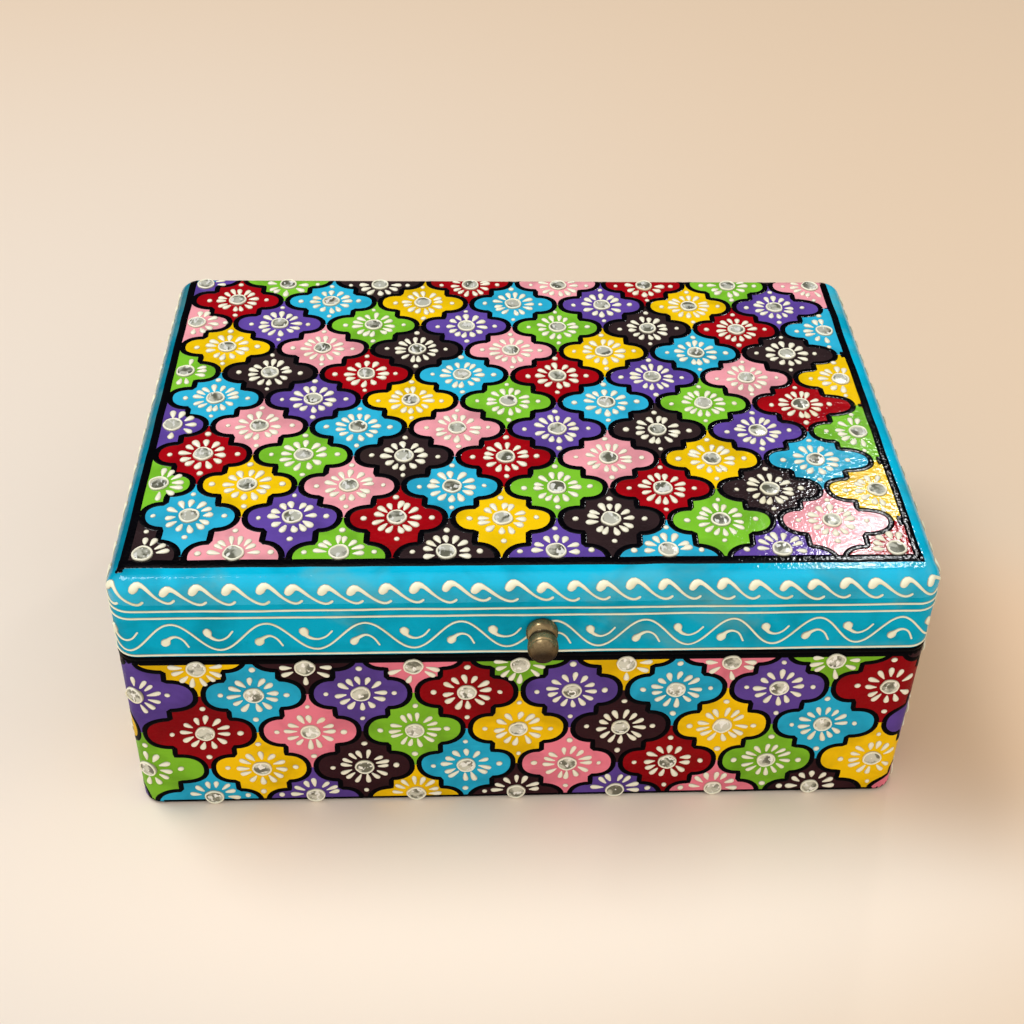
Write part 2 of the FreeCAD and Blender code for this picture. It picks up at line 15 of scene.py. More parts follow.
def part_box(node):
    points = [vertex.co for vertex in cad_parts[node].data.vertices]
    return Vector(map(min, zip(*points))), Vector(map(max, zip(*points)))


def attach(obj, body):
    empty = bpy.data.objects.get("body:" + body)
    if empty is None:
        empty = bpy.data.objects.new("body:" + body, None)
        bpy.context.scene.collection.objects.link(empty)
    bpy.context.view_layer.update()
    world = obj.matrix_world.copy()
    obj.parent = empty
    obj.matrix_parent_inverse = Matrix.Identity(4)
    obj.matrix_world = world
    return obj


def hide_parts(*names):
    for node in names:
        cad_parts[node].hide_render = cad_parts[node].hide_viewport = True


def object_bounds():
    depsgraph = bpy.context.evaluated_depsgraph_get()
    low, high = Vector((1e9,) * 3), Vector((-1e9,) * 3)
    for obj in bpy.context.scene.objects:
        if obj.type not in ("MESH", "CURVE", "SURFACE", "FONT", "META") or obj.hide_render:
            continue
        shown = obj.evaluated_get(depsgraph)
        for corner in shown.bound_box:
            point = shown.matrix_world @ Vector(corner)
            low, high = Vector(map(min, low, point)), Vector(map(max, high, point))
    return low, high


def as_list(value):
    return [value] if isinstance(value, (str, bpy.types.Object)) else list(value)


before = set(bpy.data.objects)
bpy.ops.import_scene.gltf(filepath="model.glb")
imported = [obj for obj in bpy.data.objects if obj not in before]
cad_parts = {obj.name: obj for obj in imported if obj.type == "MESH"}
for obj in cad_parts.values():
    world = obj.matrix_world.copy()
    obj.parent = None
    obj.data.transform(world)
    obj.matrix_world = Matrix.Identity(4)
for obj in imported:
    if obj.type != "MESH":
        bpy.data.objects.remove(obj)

bl_info = {
    "name": "Painted Keepsake Box",
    "version": (1, 0, 0),
    "blender": (4, 5, 0),
    "location": "View3D > Sidebar > Keepsake Box",
    "description": "Dresses the CAD frame of a keepsake box with paint, mirrors, felt and a studio",
    "category": "Object",
}

MM = 0.001
CAD_LOW, CAD_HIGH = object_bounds()
HALF_LENGTH, HALF_DEPTH, LID_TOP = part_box("lid_top_board")[1]
LID_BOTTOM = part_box("lid_front_rail")[0].z
BASE_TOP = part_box("base_front_wall")[1].z
# Room for raised paint between the boards and the CAD's own bounds
RELIEF = CAD_HIGH.z - LID_TOP

PAINTS = ("crimson", "yellow", "blue", "green", "pink", "purple", "umber")
# Order in which the tiles were filled, row by row from the back of the panel to its front
PANEL_ROWS = (
    "purple green umber crimson pink crimson green pink",
    "crimson blue yellow blue purple yellow purple",
    "pink purple green purple green umber crimson blue",
    "yellow pink umber pink yellow blue umber",
    "green umber crimson blue crimson purple pink yellow",
    "blue purple yellow green blue green crimson",
    "purple pink blue pink purple umber purple green",
    "crimson green umber crimson pink yellow blue",
    "green yellow pink blue green crimson umber yellow",
    "blue purple crimson yellow umber green pink",
    "umber pink green umber purple blue purple crimson",
)
PANEL_TOP_ROW = 5
# The same for the front wall, from its top row to its bottom row
FRONT_ROWS = (
    "umber yellow umber pink green yellow pink green umber",
    "purple blue purple crimson purple blue purple crimson",
    "yellow crimson pink green yellow umber yellow blue purple",
    "green yellow umber blue pink crimson green yellow",
    "purple blue purple yellow umber purple pink umber pink",
)
FRONT_TOP_ROW = 2
WALL_ROWS = (-2, -1, 0, 1, 2)
# Steps through the paints for the walls that the rows above don't give
WALL_COLUMN_STEP = 3
WALL_ROW_STEP = 5

# Shape of a tile: a side lobe is a rounded ellipse a quarter of the pitch from the middle, and the tips are
# the gaps between the next tiles' lobes
LOBE_MIDDLE_SHARE = 0.25
LOBE_REACH_SHARE = 0.217
LOBE_STEPS = 7
LOBE_ROUNDNESS = 0.88
PETAL_COUNTS = (12, 12, 13, 13, 14)
PETAL_BELLY_SHARE = 0.72
WALLS = ("front", "right", "back", "left")

SEEDS = {"petals": 11, "mirrors": 17, "scrolls": 23, "vine": 37}
STRAY_SEEDS = {"panel": 3, "wall": 7, "border": 17, "vine": 19, "lines": 30}
MIRROR_TILT_SHARE = 0.06
# Where the panel's drift begins: in rows from its front, and before its right border, with the reach there
FRONT_DRIFT_ROWS = 1.2
RIGHT_DRIFT_START = 15 * MM
RIGHT_DRIFT_REACH = 13 * MM
# Least angles, in degrees, at which an edge of a piece is shaded sharp
OUTLINE_SHARP = 40
RAISED_SHARP = 70
TURNED_SHARP = 50
TILE_SHARP = 25
FELT_SHARP = 60


def clamp(value, low=0, high=1):
    return min(max(value, low), high)


def eased(value, reach=1.0):
    """A rise from 0 to reach that starts and ends gently."""
    part = clamp(value)
    return reach * part * part * (3 - 2 * part)


def unit(turn):
    """Flat direction at an angle."""
    return Vector((math.cos(turn), math.sin(turn)))


def length(name, about, millimetres):
    """A length that a user may change, given in millimetres."""
    return FloatProperty(name=name, description=about, default=millimetres * MM, subtype="DISTANCE",
                         unit="LENGTH", precision=5)


def share(name, about, value):
    """A share between 0 and 1 that a user may change."""
    return FloatProperty(name=name, description=about, default=value, soft_min=0, soft_max=1,
                         subtype="FACTOR")


def angle(name, about, degrees):
    """An angle that a user may change, given in degrees."""
    return FloatProperty(name=name, description=about, default=math.radians(degrees), subtype="ANGLE",
                         unit="ROTATION")


def colour(name, about, red, green, blue):
    """A colour that a user may change, in linear values."""
    return FloatVectorProperty(name=name, description=about, default=(red, green, blue, 1), size=4, min=0,
                               max=1, subtype="COLOR")


class KeepsakeForm(bpy.types.PropertyGroup):
    """Roundings of the boards that the paint follows."""

    corner_radius: length("Corner radius", "Upright corners of lid and base, seen from above", 7.0)
    top_round: length("Top round-over", "Round-over along the lid's top edge", 5.0)
    bottom_round: length("Bottom round-over", "Round-over along the base's bottom edge", 1.5)


class KeepsakeTiles(bpy.types.PropertyGroup):
    """Layout of the ogee tiles and their flowers."""

    front_inset: length("Front inset", "From the lid's front edge to the panel", 10.5)
    left_inset: length("Left inset", "From the lid's left edge to the panel", 6.6)
    right_inset: length("Right inset", "From the lid's right edge to the panel", 8.2)
    back_over: length("Back run", "How far the panel runs over the back round-over", 2.9)
    border_width: length("Border width", "Black border at the panel's sides", 3.0)
    front_border: length("Front border", "Black border along the panel's front", 3.9)
    panel_pitch: length("Panel column pitch", "Between tiles of one row of the panel", 33.7)
    panel_row: length("Panel row pitch", "Between rows of the panel", 15.2)
    panel_x: length("Panel start x", "Middle of the panel's first tile", -3.4)
    panel_y: length("Panel start y", "Middle of the panel's first tile", 4.7)
    panel_lean: length("Panel lean", "Sideways drift of the rows from front to back", 9.0)
    right_drift: length("Right drift", "How far the last tiles are drawn towards the right border", 3.0)
    front_drift: length("Front drift", "How far the front row is drawn towards the border", 3.2)
    panel_tilt: length("Panel tilt", "Drop of each row from its middle to its right end", 2.4)
    lean_middle: share("Lean middle", "Where along the depth the rows don't drift", 0.64)
    wall_columns: IntProperty(name="Wall columns", description="Tiles in one row round the base",
                              default=25, min=8)
    wall_row: length("Wall row pitch", "Between rows of the walls", 17.6)
    wall_middle: length("Wall middle row", "Height of the walls' middle row", 34.9)
    wall_start: length("Wall start", "First tile of the middle row, from the middle of the front", -2.7)
    corner_drift: length("Corner drift", "How far the tiles next to a front corner are drawn towards it", 3.5)
    corner_share: share("Corner share", "Share of the column pitch over which that drift fades", 0.55)
    wall_foot: length("Wall foot", "Height where the walls' tiles begin", 1.0)
    wall_head: length("Wall head", "From the base's rim down to the walls' tiles", 1.2)
    back_head: length("Back head", "The same on the back wall, below the bevel for the hinges", 4.6)
    panel_lobe: length("Panel lobe height", "Half the height of a side lobe on the panel", 5.45)
    wall_lobe: length("Wall lobe height", "Half the height of a side lobe on the walls", 6.7)
    panel_line: length("Panel outline", "Width of the black outlines on the panel", 2.4)
    wall_line: length("Wall outline", "Width of the black outlines on the walls", 2.08)
    line_rise: length("Outline rise", "Height of the black outlines", 0.11)
    film: length("Paint film", "Height of the tile paint above the board", 0.05)
    hand_drift: length("Hand drift", "How far a drawn line strays", 0.55)
    drift_grain: length("Drift grain", "Distance over which a drawn line strays", 13.0)


class KeepsakeFlowers(bpy.types.PropertyGroup):
    """Raised petals, dots and rings about each mirror."""

    panel_petal_start: length("Panel petal start", "From a mirror's middle to its petals on the panel", 3.9)
    panel_petal_end: length("Panel petal end", "From a mirror's middle to the far ends of its petals", 7.75)
    panel_petal_width: length("Panel petal width", "Widest part of a petal on the panel", 2.55)
    wall_petal_start: length("Wall petal start", "From a mirror's middle to its petals on the walls", 4.1)
    wall_petal_end: length("Wall petal end", "From a mirror's middle to the far ends of its petals", 8.2)
    wall_petal_width: length("Wall petal width", "Widest part of a petal on the walls", 2.15)
    petal_tail: length("Petal tail", "Narrow end of a petal", 0.55)
    petal_rise: length("Petal rise", "Height of a petal", 0.66)
    dot_width: length("Dot width", "Across a dot", 2.1)
    dot_side: length("Side dots", "From a mirror's middle to the dots in the side lobes", 10.7)
    panel_dot_tip: length("Panel tip dots", "From a mirror's middle to the dots in the tips", 10.1)
    wall_dot_tip: length("Wall tip dots", "From a mirror's middle to the dots in the tips", 11.9)
    edge_gap: length("Edge gap", "Least distance of raised paint from the border", 0.9)
    dot_gap: length("Dot gap", "Least distance of a dot's middle from the edge of its tile", 1.5)
    panel_ring_outer: length("Panel ring outside", "Radius of a raised ring outside, on the panel", 3.25)
    panel_ring_inner: length("Panel ring inside", "Radius of a raised ring inside, on the panel", 2.5)
    wall_ring_outer: length("Wall ring outside", "Radius of a raised ring outside, on the walls", 3.2)
    wall_ring_inner: length("Wall ring inside", "Radius of a raised ring inside, on the walls", 2.6)
    ring_rise: length("Ring rise", "Height of the raised ring", 0.75)
    ring_wobble: length("Ring wobble", "How far a ring strays from round", 0.3)
    ring_foot: length("Ring foot", "Least height of a ring above the ground", 0.2)
    glass_reach: length("Glass radius", "Radius of a mirror, whose edge is under its ring", 3.0)
    panel_glass_rise: length("Panel glass rise", "Height of a mirror's middle on the panel", 0.62)
    wall_glass_rise: length("Wall glass rise", "Height of a mirror's middle on the walls", 0.5)
    glass_crown: length("Glass crown", "How much a mirror's middle stands above its edge", 0.15)


class KeepsakeScrolls(bpy.types.PropertyGroup):
    """Raised lines, scrolls and vine on the lid's sides; heights are above the lid's lower edge."""

    top_line: length("Top line", "Height of the upper of the two lines", 20.9)
    second_line: length("Second line", "Height of the lower of the two lines", 18.0)
    foot_line: length("Foot line", "Height of the line above the seam", 2.3)
    line_width: length("Line width", "Width of a raised line", 0.8)
    seam_band: length("Seam band", "Height of the black band along the lid's lower edge", 1.7)
    vine_crest: length("Vine crest", "Height of the vine's crests", 15.5)
    vine_trough: length("Vine trough", "Height of the vine's troughs", 4.4)
    vine_width: length("Vine width", "Width of the vine", 0.76)
    vine_start: length("Vine start", "A crest of the vine, from the middle of the front", -108.6)
    vine_drift: length("Vine drift", "How far the vine is drawn out in the middle of the front", 4.8)
    vines: IntProperty(name="Vine waves", description="Waves of the vine round the lid", default=30, min=4)
    scrolls: IntProperty(name="Scrolls", description="Scrolls round the lid's shoulder", default=90, min=8)
    scroll_start: length("Scroll start", "First scroll, from the middle of the front", -118.9)
    side_drop: length("Side drop", "How much lower the scrolls are on the sides and the back", 1.7)
    scroll_foot: length("Scroll foot", "Height of the scrolls' lowest point", 23.8)


class KeepsakePaint(bpy.types.PropertyGroup):
    """Colours of the finishes."""

    turquoise: colour("Turquoise", "Enamel of the lid", 0.002, 0.50, 0.77)
    turquoise_shade: colour("Turquoise shade", "Thicker enamel of the lid", 0.001, 0.37, 0.56)
    varnish: colour("Varnish stain", "Yellowed varnish", 0.30, 0.34, 0.07)
    ground: colour("Ground", "Dark ground paint of the base", 0.0012, 0.0009, 0.0018)
    black: colour("Outline black", "Outlines and borders", 0.0009, 0.0008, 0.0016)
    cream: colour("Cream", "Raised paint", 0.92, 0.885, 0.71)
    cream_line: colour("Lid cream", "Raised paint of the lid's lines and scrolls", 0.95, 0.93, 0.70)
    # Foot of the raised paint: pooled varnish and painted shade
    cream_foot_dirt_and_shade: colour("Cream edge", "Soiled foot of the raised paint", 0.30, 0.27, 0.18)
    crimson: colour("Crimson", "Tile paint", 0.40, 0.0012, 0.006)
    yellow: colour("Yellow", "Tile paint", 0.96, 0.61, 0.002)
    blue: colour("Blue", "Tile paint", 0.027, 0.475, 0.74)
    green: colour("Green", "Tile paint", 0.215, 0.585, 0.03)
    pink: colour("Pink", "Tile paint", 0.93, 0.37, 0.43)
    purple: colour("Purple", "Tile paint", 0.128, 0.066, 0.38)
    umber: colour("Umber", "Tile paint", 0.032, 0.017, 0.019)
    # Mirror colours: spotted silvering, and painted reflections of the room
    glass: colour("Mirror glass", "Silvered glass", 0.66, 0.66, 0.56)
    glass_dull: colour("Dull glass", "Spotted silvering", 0.14, 0.14, 0.10)
    knob_brass: colour("Knob brass", "Antique brass", 0.42, 0.30, 0.15)
    knob_tarnish: colour("Knob tarnish", "Dark tarnish", 0.036, 0.023, 0.015)
    hinge_brass: colour("Hinge brass", "Pressed brass", 0.70, 0.50, 0.20)
    steel: colour("Steel", "Wire and screws", 0.50, 0.50, 0.51)
    felt: colour("Felt", "Lining", 0.22, 0.010, 0.028)
    felt_light: colour("Felt fibre", "Fibres of the lining", 0.42, 0.045, 0.075)
    wood: colour("Wood", "Plain board", 0.55, 0.36, 0.19)
    wood_dark: colour("Wood grain", "Grain of the plain board", 0.33, 0.19, 0.09)


class KeepsakeStudio(bpy.types.PropertyGroup):
    """Camera, floor and lights."""

    camera_place: FloatVectorProperty(
        name="Camera place", description="Where the camera stands", size=3, subtype="TRANSLATION",
        unit="LENGTH", default=(-22.735 * MM, -416.018 * MM, 418.977 * MM))
    yaw: angle("Yaw", "Camera turned to the right of straight back", 4.765)
    pitch: angle("Pitch", "Camera turned down", 37.089)
    roll: angle("Roll", "Camera turned about its own line of sight", 2.795)
    lens: FloatProperty(name="Focal length", description="For a sensor 36 mm wide", default=53.671,
                        subtype="DISTANCE_CAMERA")
    shift_x: FloatProperty(name="Shift across", description="Framing of the photograph", default=-0.0439)
    shift_y: FloatProperty(name="Shift up", description="Framing of the photograph", default=-0.1074)
    # The floor's tints are painted falloff of light: warmer on the right, darker and warmer behind
    floor_left: colour("Floor left", "Pale floor in front, on the left", 0.84, 0.75, 0.665)
    floor_right: colour("Floor right", "Pale floor in front, on the right", 0.82, 0.635, 0.465)
    # Painted light on the floor before the box, and painted shade beside it on the right
    floor_front_painted_light: colour("Floor in front", "Pale floor before the box", 0.96, 0.83, 0.71)
    floor_beside_painted_shade: colour("Floor beside", "Pale floor in the box's shade, on the right", 0.86, 0.61, 0.41)
    floor_far: colour("Floor far", "Pale floor behind", 0.70, 0.535, 0.385)
    backdrop: colour("Backdrop", "What the camera sees beyond the floor", 0.80, 0.64, 0.48)
    sky: colour("Room light", "Soft light from above and from the front", 1.0, 0.965, 0.91)
    far_room: colour("Far room", "Dim far side of the room that the varnish mirrors", 0.03, 0.03, 0.029)
    sky_strength: FloatProperty(name="Room strength", description="Strength of the soft light",
                                default=0.92, min=0)
    key_power: FloatProperty(name="Key power", description="Large soft lamp on the left", default=26.0, min=0,
                             subtype="POWER", unit="POWER")
    gleam_power: FloatProperty(name="Gleam power", description="Lamp at the back that the varnish mirrors",
                               default=0.9, min=0, subtype="POWER", unit="POWER")


class Outside:
    """The painted outside of the box, reached from flat coordinates."""

    def __init__(self, form):
        self.corner = form.corner_radius
        self.top_round = form.top_round
        self.bottom_round = form.bottom_round
        self.run_x = 2 * (HALF_LENGTH - self.corner)
        self.run_y = 2 * (HALF_DEPTH - self.corner)
        self.runs = (self.run_x, self.run_y, self.run_x, self.run_y)
        self.arc = math.pi / 2 * self.corner
        self.around = 2 * (self.run_x + self.run_y) + 4 * self.arc

    def rim(self, along):
        """Plan place and outward direction at a distance round the box from the middle of its front."""
        rest = (along + self.run_x / 2) % self.around
        turn = -math.pi / 2
        place = Vector((-self.run_x / 2, -HALF_DEPTH))
        for run in self.runs:
            out = unit(turn)
            way = Vector((-out.y, out.x))
            if rest <= run:
                return place + way * rest, out
            rest -= run
            centre = place + way * run - out * self.corner
            if rest <= self.arc:
                turn += rest / self.corner
                out = unit(turn)
                return centre + out * self.corner, out
            rest -= self.arc
            turn += math.pi / 2
            place = centre + self.corner * unit(turn)
        return place, out

    def from_front(self, along):
        """The shorter way round the box from the middle of its front, negative to the left."""
        return (along + self.around / 2) % self.around - self.around / 2

    def wall_span(self, number):
        """Where a wall begins and ends round the box, from one corner's middle to the next."""
        start = -self.run_x / 2 - self.arc / 2
        for run in self.runs[:number]:
            start += run + self.arc
        return start, start + self.runs[number] + self.arc

    def lid_side(self, along, rise, lift):
        """A point on the lid's side, carried over its round-over onto the top."""
        place, out = self.rim(along)
        straight = LID_TOP - LID_BOTTOM - self.top_round
        turn = clamp((rise - straight) / self.top_round, 0, math.pi / 2)
        over = max(rise - straight - self.top_round * math.pi / 2, 0)
        inset = self.top_round * (1 - math.cos(turn)) + over - lift * math.cos(turn)
        height = LID_BOTTOM + min(rise, straight) + (self.top_round + lift) * math.sin(turn)
        return Vector((place.x - out.x * inset, place.y - out.y * inset, height))

    def base_side(self, along, rise, lift):
        """A point on the base's side, carried in by the round-over at its foot."""
        place, out = self.rim(along)
        slope = clamp(1 - rise / self.bottom_round)
        level = math.sqrt(1 - slope * slope)
        inset = self.bottom_round * (1 - level) - lift * level
        return Vector((place.x - out.x * inset, place.y - out.y * inset, rise - lift * slope))

    def bend(self, flat, half):
        """A flat coordinate of the panel, carried over the round-over at the panel's edge."""
        over = abs(flat) - (half - self.top_round)
        if over <= 0:
            return flat
        turn = min(over / self.top_round, math.pi / 2)
        return math.copysign(half - self.top_round + self.top_round * math.sin(turn), flat)

    def panel(self, x, y, lift):
        """A point on the lid's top and its round-over."""
        x = self.bend(x, HALF_LENGTH)
        y = self.bend(y, HALF_DEPTH)
        past_x = abs(x) - (HALF_LENGTH - self.corner)
        past_y = abs(y) - (HALF_DEPTH - self.corner)
        out = Vector((math.copysign(max(past_x, 0), x), math.copysign(max(past_y, 0), y)))
        reach = max(past_x, past_y) if min(past_x, past_y) <= 0 else out.length
        slope = clamp(1 - (self.corner - reach) / self.top_round)
        level = math.sqrt(1 - slope * slope)
        if out.length > 0:
            out.normalize()
        height = LID_TOP - self.top_round * (1 - level) + lift * level
        return Vector((x + out.x * slope * lift, y + out.y * slope * lift, height))


def stray(place, reach, grain, seed):
    """A small smooth shift that makes a drawn layout look made by hand."""
    spot = Vector(place) / grain
    first = noise.noise(spot + Vector((0, 0, seed)))
    second = noise.noise(spot + Vector((41.3, 17.9, seed)))
    return first * reach, second * reach


class PaintBuild:
    """Points and faces of one piece, stroke by stroke; crest is 0 at a stroke's foot and 1 on top."""

    def __init__(self):
        self.points = []
        self.faces = []
        self.crests = []

    def skin(self, rings, crests, closed=False):
        """Skins rings of equal counts one after another, and caps both ends or joins them."""
        start = len(self.points)
        count = len(rings[0])
        for ring, heights in zip(rings, crests):
            self.points.extend(ring)
            self.crests.extend(heights)
        total = len(rings) * count
        for number in range(len(rings) if closed else len(rings) - 1):
            for k in range(count):
                here = number * count + k
                beside = number * count + (k + 1) % count
                self.faces.append((start + here, start + beside, start + (beside + count) % total,
                                   start + (here + count) % total))
        if not closed:
            self.faces.append(tuple(start + k for k in reversed(range(count))))
            self.faces.append(tuple(start + total - count + k for k in range(count)))

    def piece(self, name, body, slot, material, sharp=OUTLINE_SHARP):
        mesh = bpy.data.meshes.new(name)
        mesh.from_pydata(self.points, [], self.faces)
        crest = mesh.attributes.new("crest", "FLOAT", "POINT")
        crest.data.foreach_set("value", self.crests)
        return finish_piece(mesh, name, body, [material], sharp)


def finish_piece(mesh, name, body, materials, sharp):
    """Turns a mesh into a smooth-shaded piece that rides on a body."""
    build = bmesh.new()
    build.from_mesh(mesh)
    bmesh.ops.recalc_face_normals(build, faces=build.faces)
    build.to_mesh(mesh)
    build.free()
    mesh.shade_smooth()
    mesh.set_sharp_from_angle(angle=math.radians(sharp))
    for material in materials:
        mesh.materials.append(material)
    piece = bpy.data.objects.new(name, mesh)
    bpy.context.scene.collection.objects.link(piece)
    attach(piece, body)
    return piece


class Path:
    """A flat polyline that is read by distance."""

    def __init__(self, points):
        self.points = [Vector(p) for p in points]
        self.marks = [0.0]
        for a, b in zip(self.points, self.points[1:]):
            self.marks.append(self.marks[-1] + (b - a).length)
        self.length = self.marks[-1]
        self.last = 0

    def at(self, distance):
        distance = clamp(distance, 0, self.length)
        if distance < self.marks[self.last]:
            self.last = 0
        while self.last < len(self.points) - 2 and self.marks[self.last + 1] < distance:
            self.last += 1
        span = self.marks[self.last + 1] - self.marks[self.last]
        part = (distance - self.marks[self.last]) / span if span else 0
        return self.points[self.last].lerp(self.points[self.last + 1], part)


def smooth_path(points, steps=8):
    """A smooth flat curve through a few points."""
    knots = [Vector(p) for p in points]
    knots = [2 * knots[0] - knots[1], *knots, 2 * knots[-1] - knots[-2]]
    curve = []
    for a, b, c, d in zip(knots, knots[1:], knots[2:], knots[3:]):
        for number in range(steps):
            t = number / steps
            curve.append(0.5 * (2 * b + (c - a) * t + (2 * a - 5 * b + 4 * c - d) * t * t
                                + (3 * b - a - 3 * c + d) * t ** 3))
    curve.append(knots[-2])
    return curve


# Stations of a stroke's round end, as shares of its half-width
END_SHARES = (0.02, 0.15, 0.45, 1.0)
BEAD_SIDES = 6
BEAD_SINK = 0.04 * MM


def stations(length, start, end, step, round_ends):
    """Distances along a stroke, with the share of its width there; round ends swell to the full width."""
    if not round_ends:
        count = max(int(length / step), 1)
        return [(length * k / count, 1.0) for k in range(count + 1)]
    if start + end > length:
        start = end = length / 2
    swell = [(part, math.sqrt(1 - (1 - part) ** 2)) for part in END_SHARES]
    count = max(int((length - start - end) / step), 1)
    found = [(start * part, full) for part, full in swell]
    found += [(start + (length - end - start) * k / count, 1.0) for k in range(1, count)]
    found += [(length - end * part, full) for part, full in reversed(swell)]
    return found


def bead(build, surface, points, half_width, crown, step=0.9 * MM, round_ends=True, top=RELIEF):
    """A raised stroke of paint along flat points; half_width is given for each share of its length."""
    path = Path(points)
    rings = []
    crests = []
    nudge = step / 4
    for distance, fullness in stations(path.length, half_width(0), half_width(1), step, round_ends):
        middle = path.at(distance)
        way = path.at(distance + nudge) - path.at(distance - nudge)
        if way.length == 0:
            continue
        way.normalize()
        side = Vector((-way.y, way.x))
        wide = half_width(distance / path.length) * fullness
        rise = min(wide * crown, top)
        ring = []
        heights = []
        for k in range(BEAD_SIDES):
            turn = math.pi * k / (BEAD_SIDES - 1)
            spot = middle - side * wide * math.cos(turn)
            lift = rise * math.sin(turn) if 0 < k < BEAD_SIDES - 1 else -BEAD_SINK
            ring.append(surface(spot.x, spot.y, lift))
            heights.append(math.sin(turn))
        rings.append(ring)
        crests.append(heights)
    build.skin(rings, crests)


DOT_SPOKES = 12
# Rings of a dot: share of its half-width, share of its rise
DOT_RINGS = ((1.0, 0.0), (0.93, 0.38), (0.72, 0.76), (0.4, 0.95), (0.08, 1.0))


def dot(build, surface, x, y, half_width, rise, turn=0.0, squash=1.0):
    """A raised dot of paint."""
    rings = []
    crests = []
    for reach, height in DOT_RINGS:
        ring = []
        for k in range(DOT_SPOKES):
            round_turn = 2 * math.pi * k / DOT_SPOKES
            across = half_width * reach * math.cos(round_turn)
            up = half_width * reach * squash * math.sin(round_turn)
            ring.append(surface(x + across * math.cos(turn) - up * math.sin(turn),
                                y + across * math.sin(turn) + up * math.cos(turn),
                                rise * height if height else -BEAD_SINK))
        rings.append(ring)
        crests.append([height] * DOT_SPOKES)
    build.skin(rings, crests)


def clipped(points, low, high):
    """The stretches of a flat polyline inside a box of flat coordinates."""
    runs = []
    run = []
    for a, b in zip(points, points[1:]):
        enter, leave = 0.0, 1.0
        for k in range(2):
            way = b[k] - a[k]
            for side, limit in ((-1, low[k]), (1, high[k])):
                room = side * (limit - a[k])
                if side * way > 0:
                    leave = min(leave, room / (side * way))
                elif side * way < 0:
                    enter = max(enter, room / (side * way))
                elif room < 0:
                    leave = -1
        if enter >= leave:
            if len(run) > 1:
                runs.append(run)
            run = []
            continue
        first = Vector(a).lerp(Vector(b), enter)
        last = Vector(a).lerp(Vector(b), leave)
        if enter > 0 and len(run) > 1:
            runs.append(run)
            run = []
        run = (run or [first]) + [last]
        if leave < 1:
            runs.append(run)
            run = []
    if len(run) > 1:
        runs.append(run)
    return runs


def ogee_quarter(pitch, row, lobe):
    """Upper right edge of a tile, from its side tip to its top tip."""
    middle = pitch * LOBE_MIDDLE_SHARE
    reach = pitch * LOBE_REACH_SHARE
    turns = [math.pi / 2 * k / LOBE_STEPS for k in range(LOBE_STEPS + 1)]
    bulge = [(max(math.cos(a), 0) ** LOBE_ROUNDNESS, math.sin(a) ** LOBE_ROUNDNESS) for a in turns]
    own = [(middle + reach * out, lobe * up) for out, up in bulge]
    upper = [(middle - reach * out, row - lobe * up) for out, up in reversed(bulge)]
    return own + upper


def ogee_tile(pitch, row, lobe):
    """Outline of a whole tile about its middle."""
    quarter = ogee_quarter(pitch, row, lobe)
    left = [(-x, y) for x, y in reversed(quarter)]
    upper = quarter + left
    return upper + [(x, -y) for x, y in reversed(upper)]


class PanelLayout:
    """Where the panel's tiles lie on the lid's top, in flat coordinates."""

    def __init__(self, tiles, outside):
        self.tiles = tiles
        self.pitch = tiles.panel_pitch
        self.row = tiles.panel_row
        self.lobe = tiles.panel_lobe
        self.left = tiles.left_inset - HALF_LENGTH
        self.right = HALF_LENGTH - tiles.right_inset
        self.front = tiles.front_inset - HALF_DEPTH
        self.flat_back = HALF_DEPTH - outside.top_round
        self.back = self.flat_back + tiles.back_over
        self.surface = outside.panel

    def middle(self, column, number):
        return (self.tiles.panel_x + self.pitch * (column + (number % 2) / 2),
                self.tiles.panel_y + self.row * number)

    def drawn(self, x, y):
        """Even layout to the leaning, hand-drawn one."""
        across = 2 * (x - self.left) / (self.right - self.left) - 1
        up = (y - self.front) / (self.flat_back - self.front)
        lean = self.tiles.panel_lean * (up - self.tiles.lean_middle) * math.cos(math.pi / 2 * across)
        shift = stray((x, y, 0), self.tiles.hand_drift, self.tiles.drift_grain, STRAY_SEEDS["panel"])
        drop = eased((self.front + FRONT_DRIFT_ROWS * self.row - y) / self.row, self.tiles.front_drift)
        pull = eased((x + RIGHT_DRIFT_START - self.right) / RIGHT_DRIFT_REACH, self.tiles.right_drift)
        return x + lean + pull + shift[0], y - drop - self.tiles.panel_tilt * across + shift[1]

    def paint(self, column, number):
        row = PANEL_TOP_ROW - number
        if not 0 <= row < len(PANEL_ROWS):
            return "umber"
        names = PANEL_ROWS[row].split()
        place = column + len(names) // 2
        return names[clamp(place, 0, len(names) - 1)]

    def lattice(self):
        columns = math.ceil(HALF_LENGTH / self.pitch) + 1
        rows = math.ceil(HALF_DEPTH / self.row) + 1
        return [(i, j) for j in range(-rows, rows + 1) for i in range(-columns, columns + 1)]


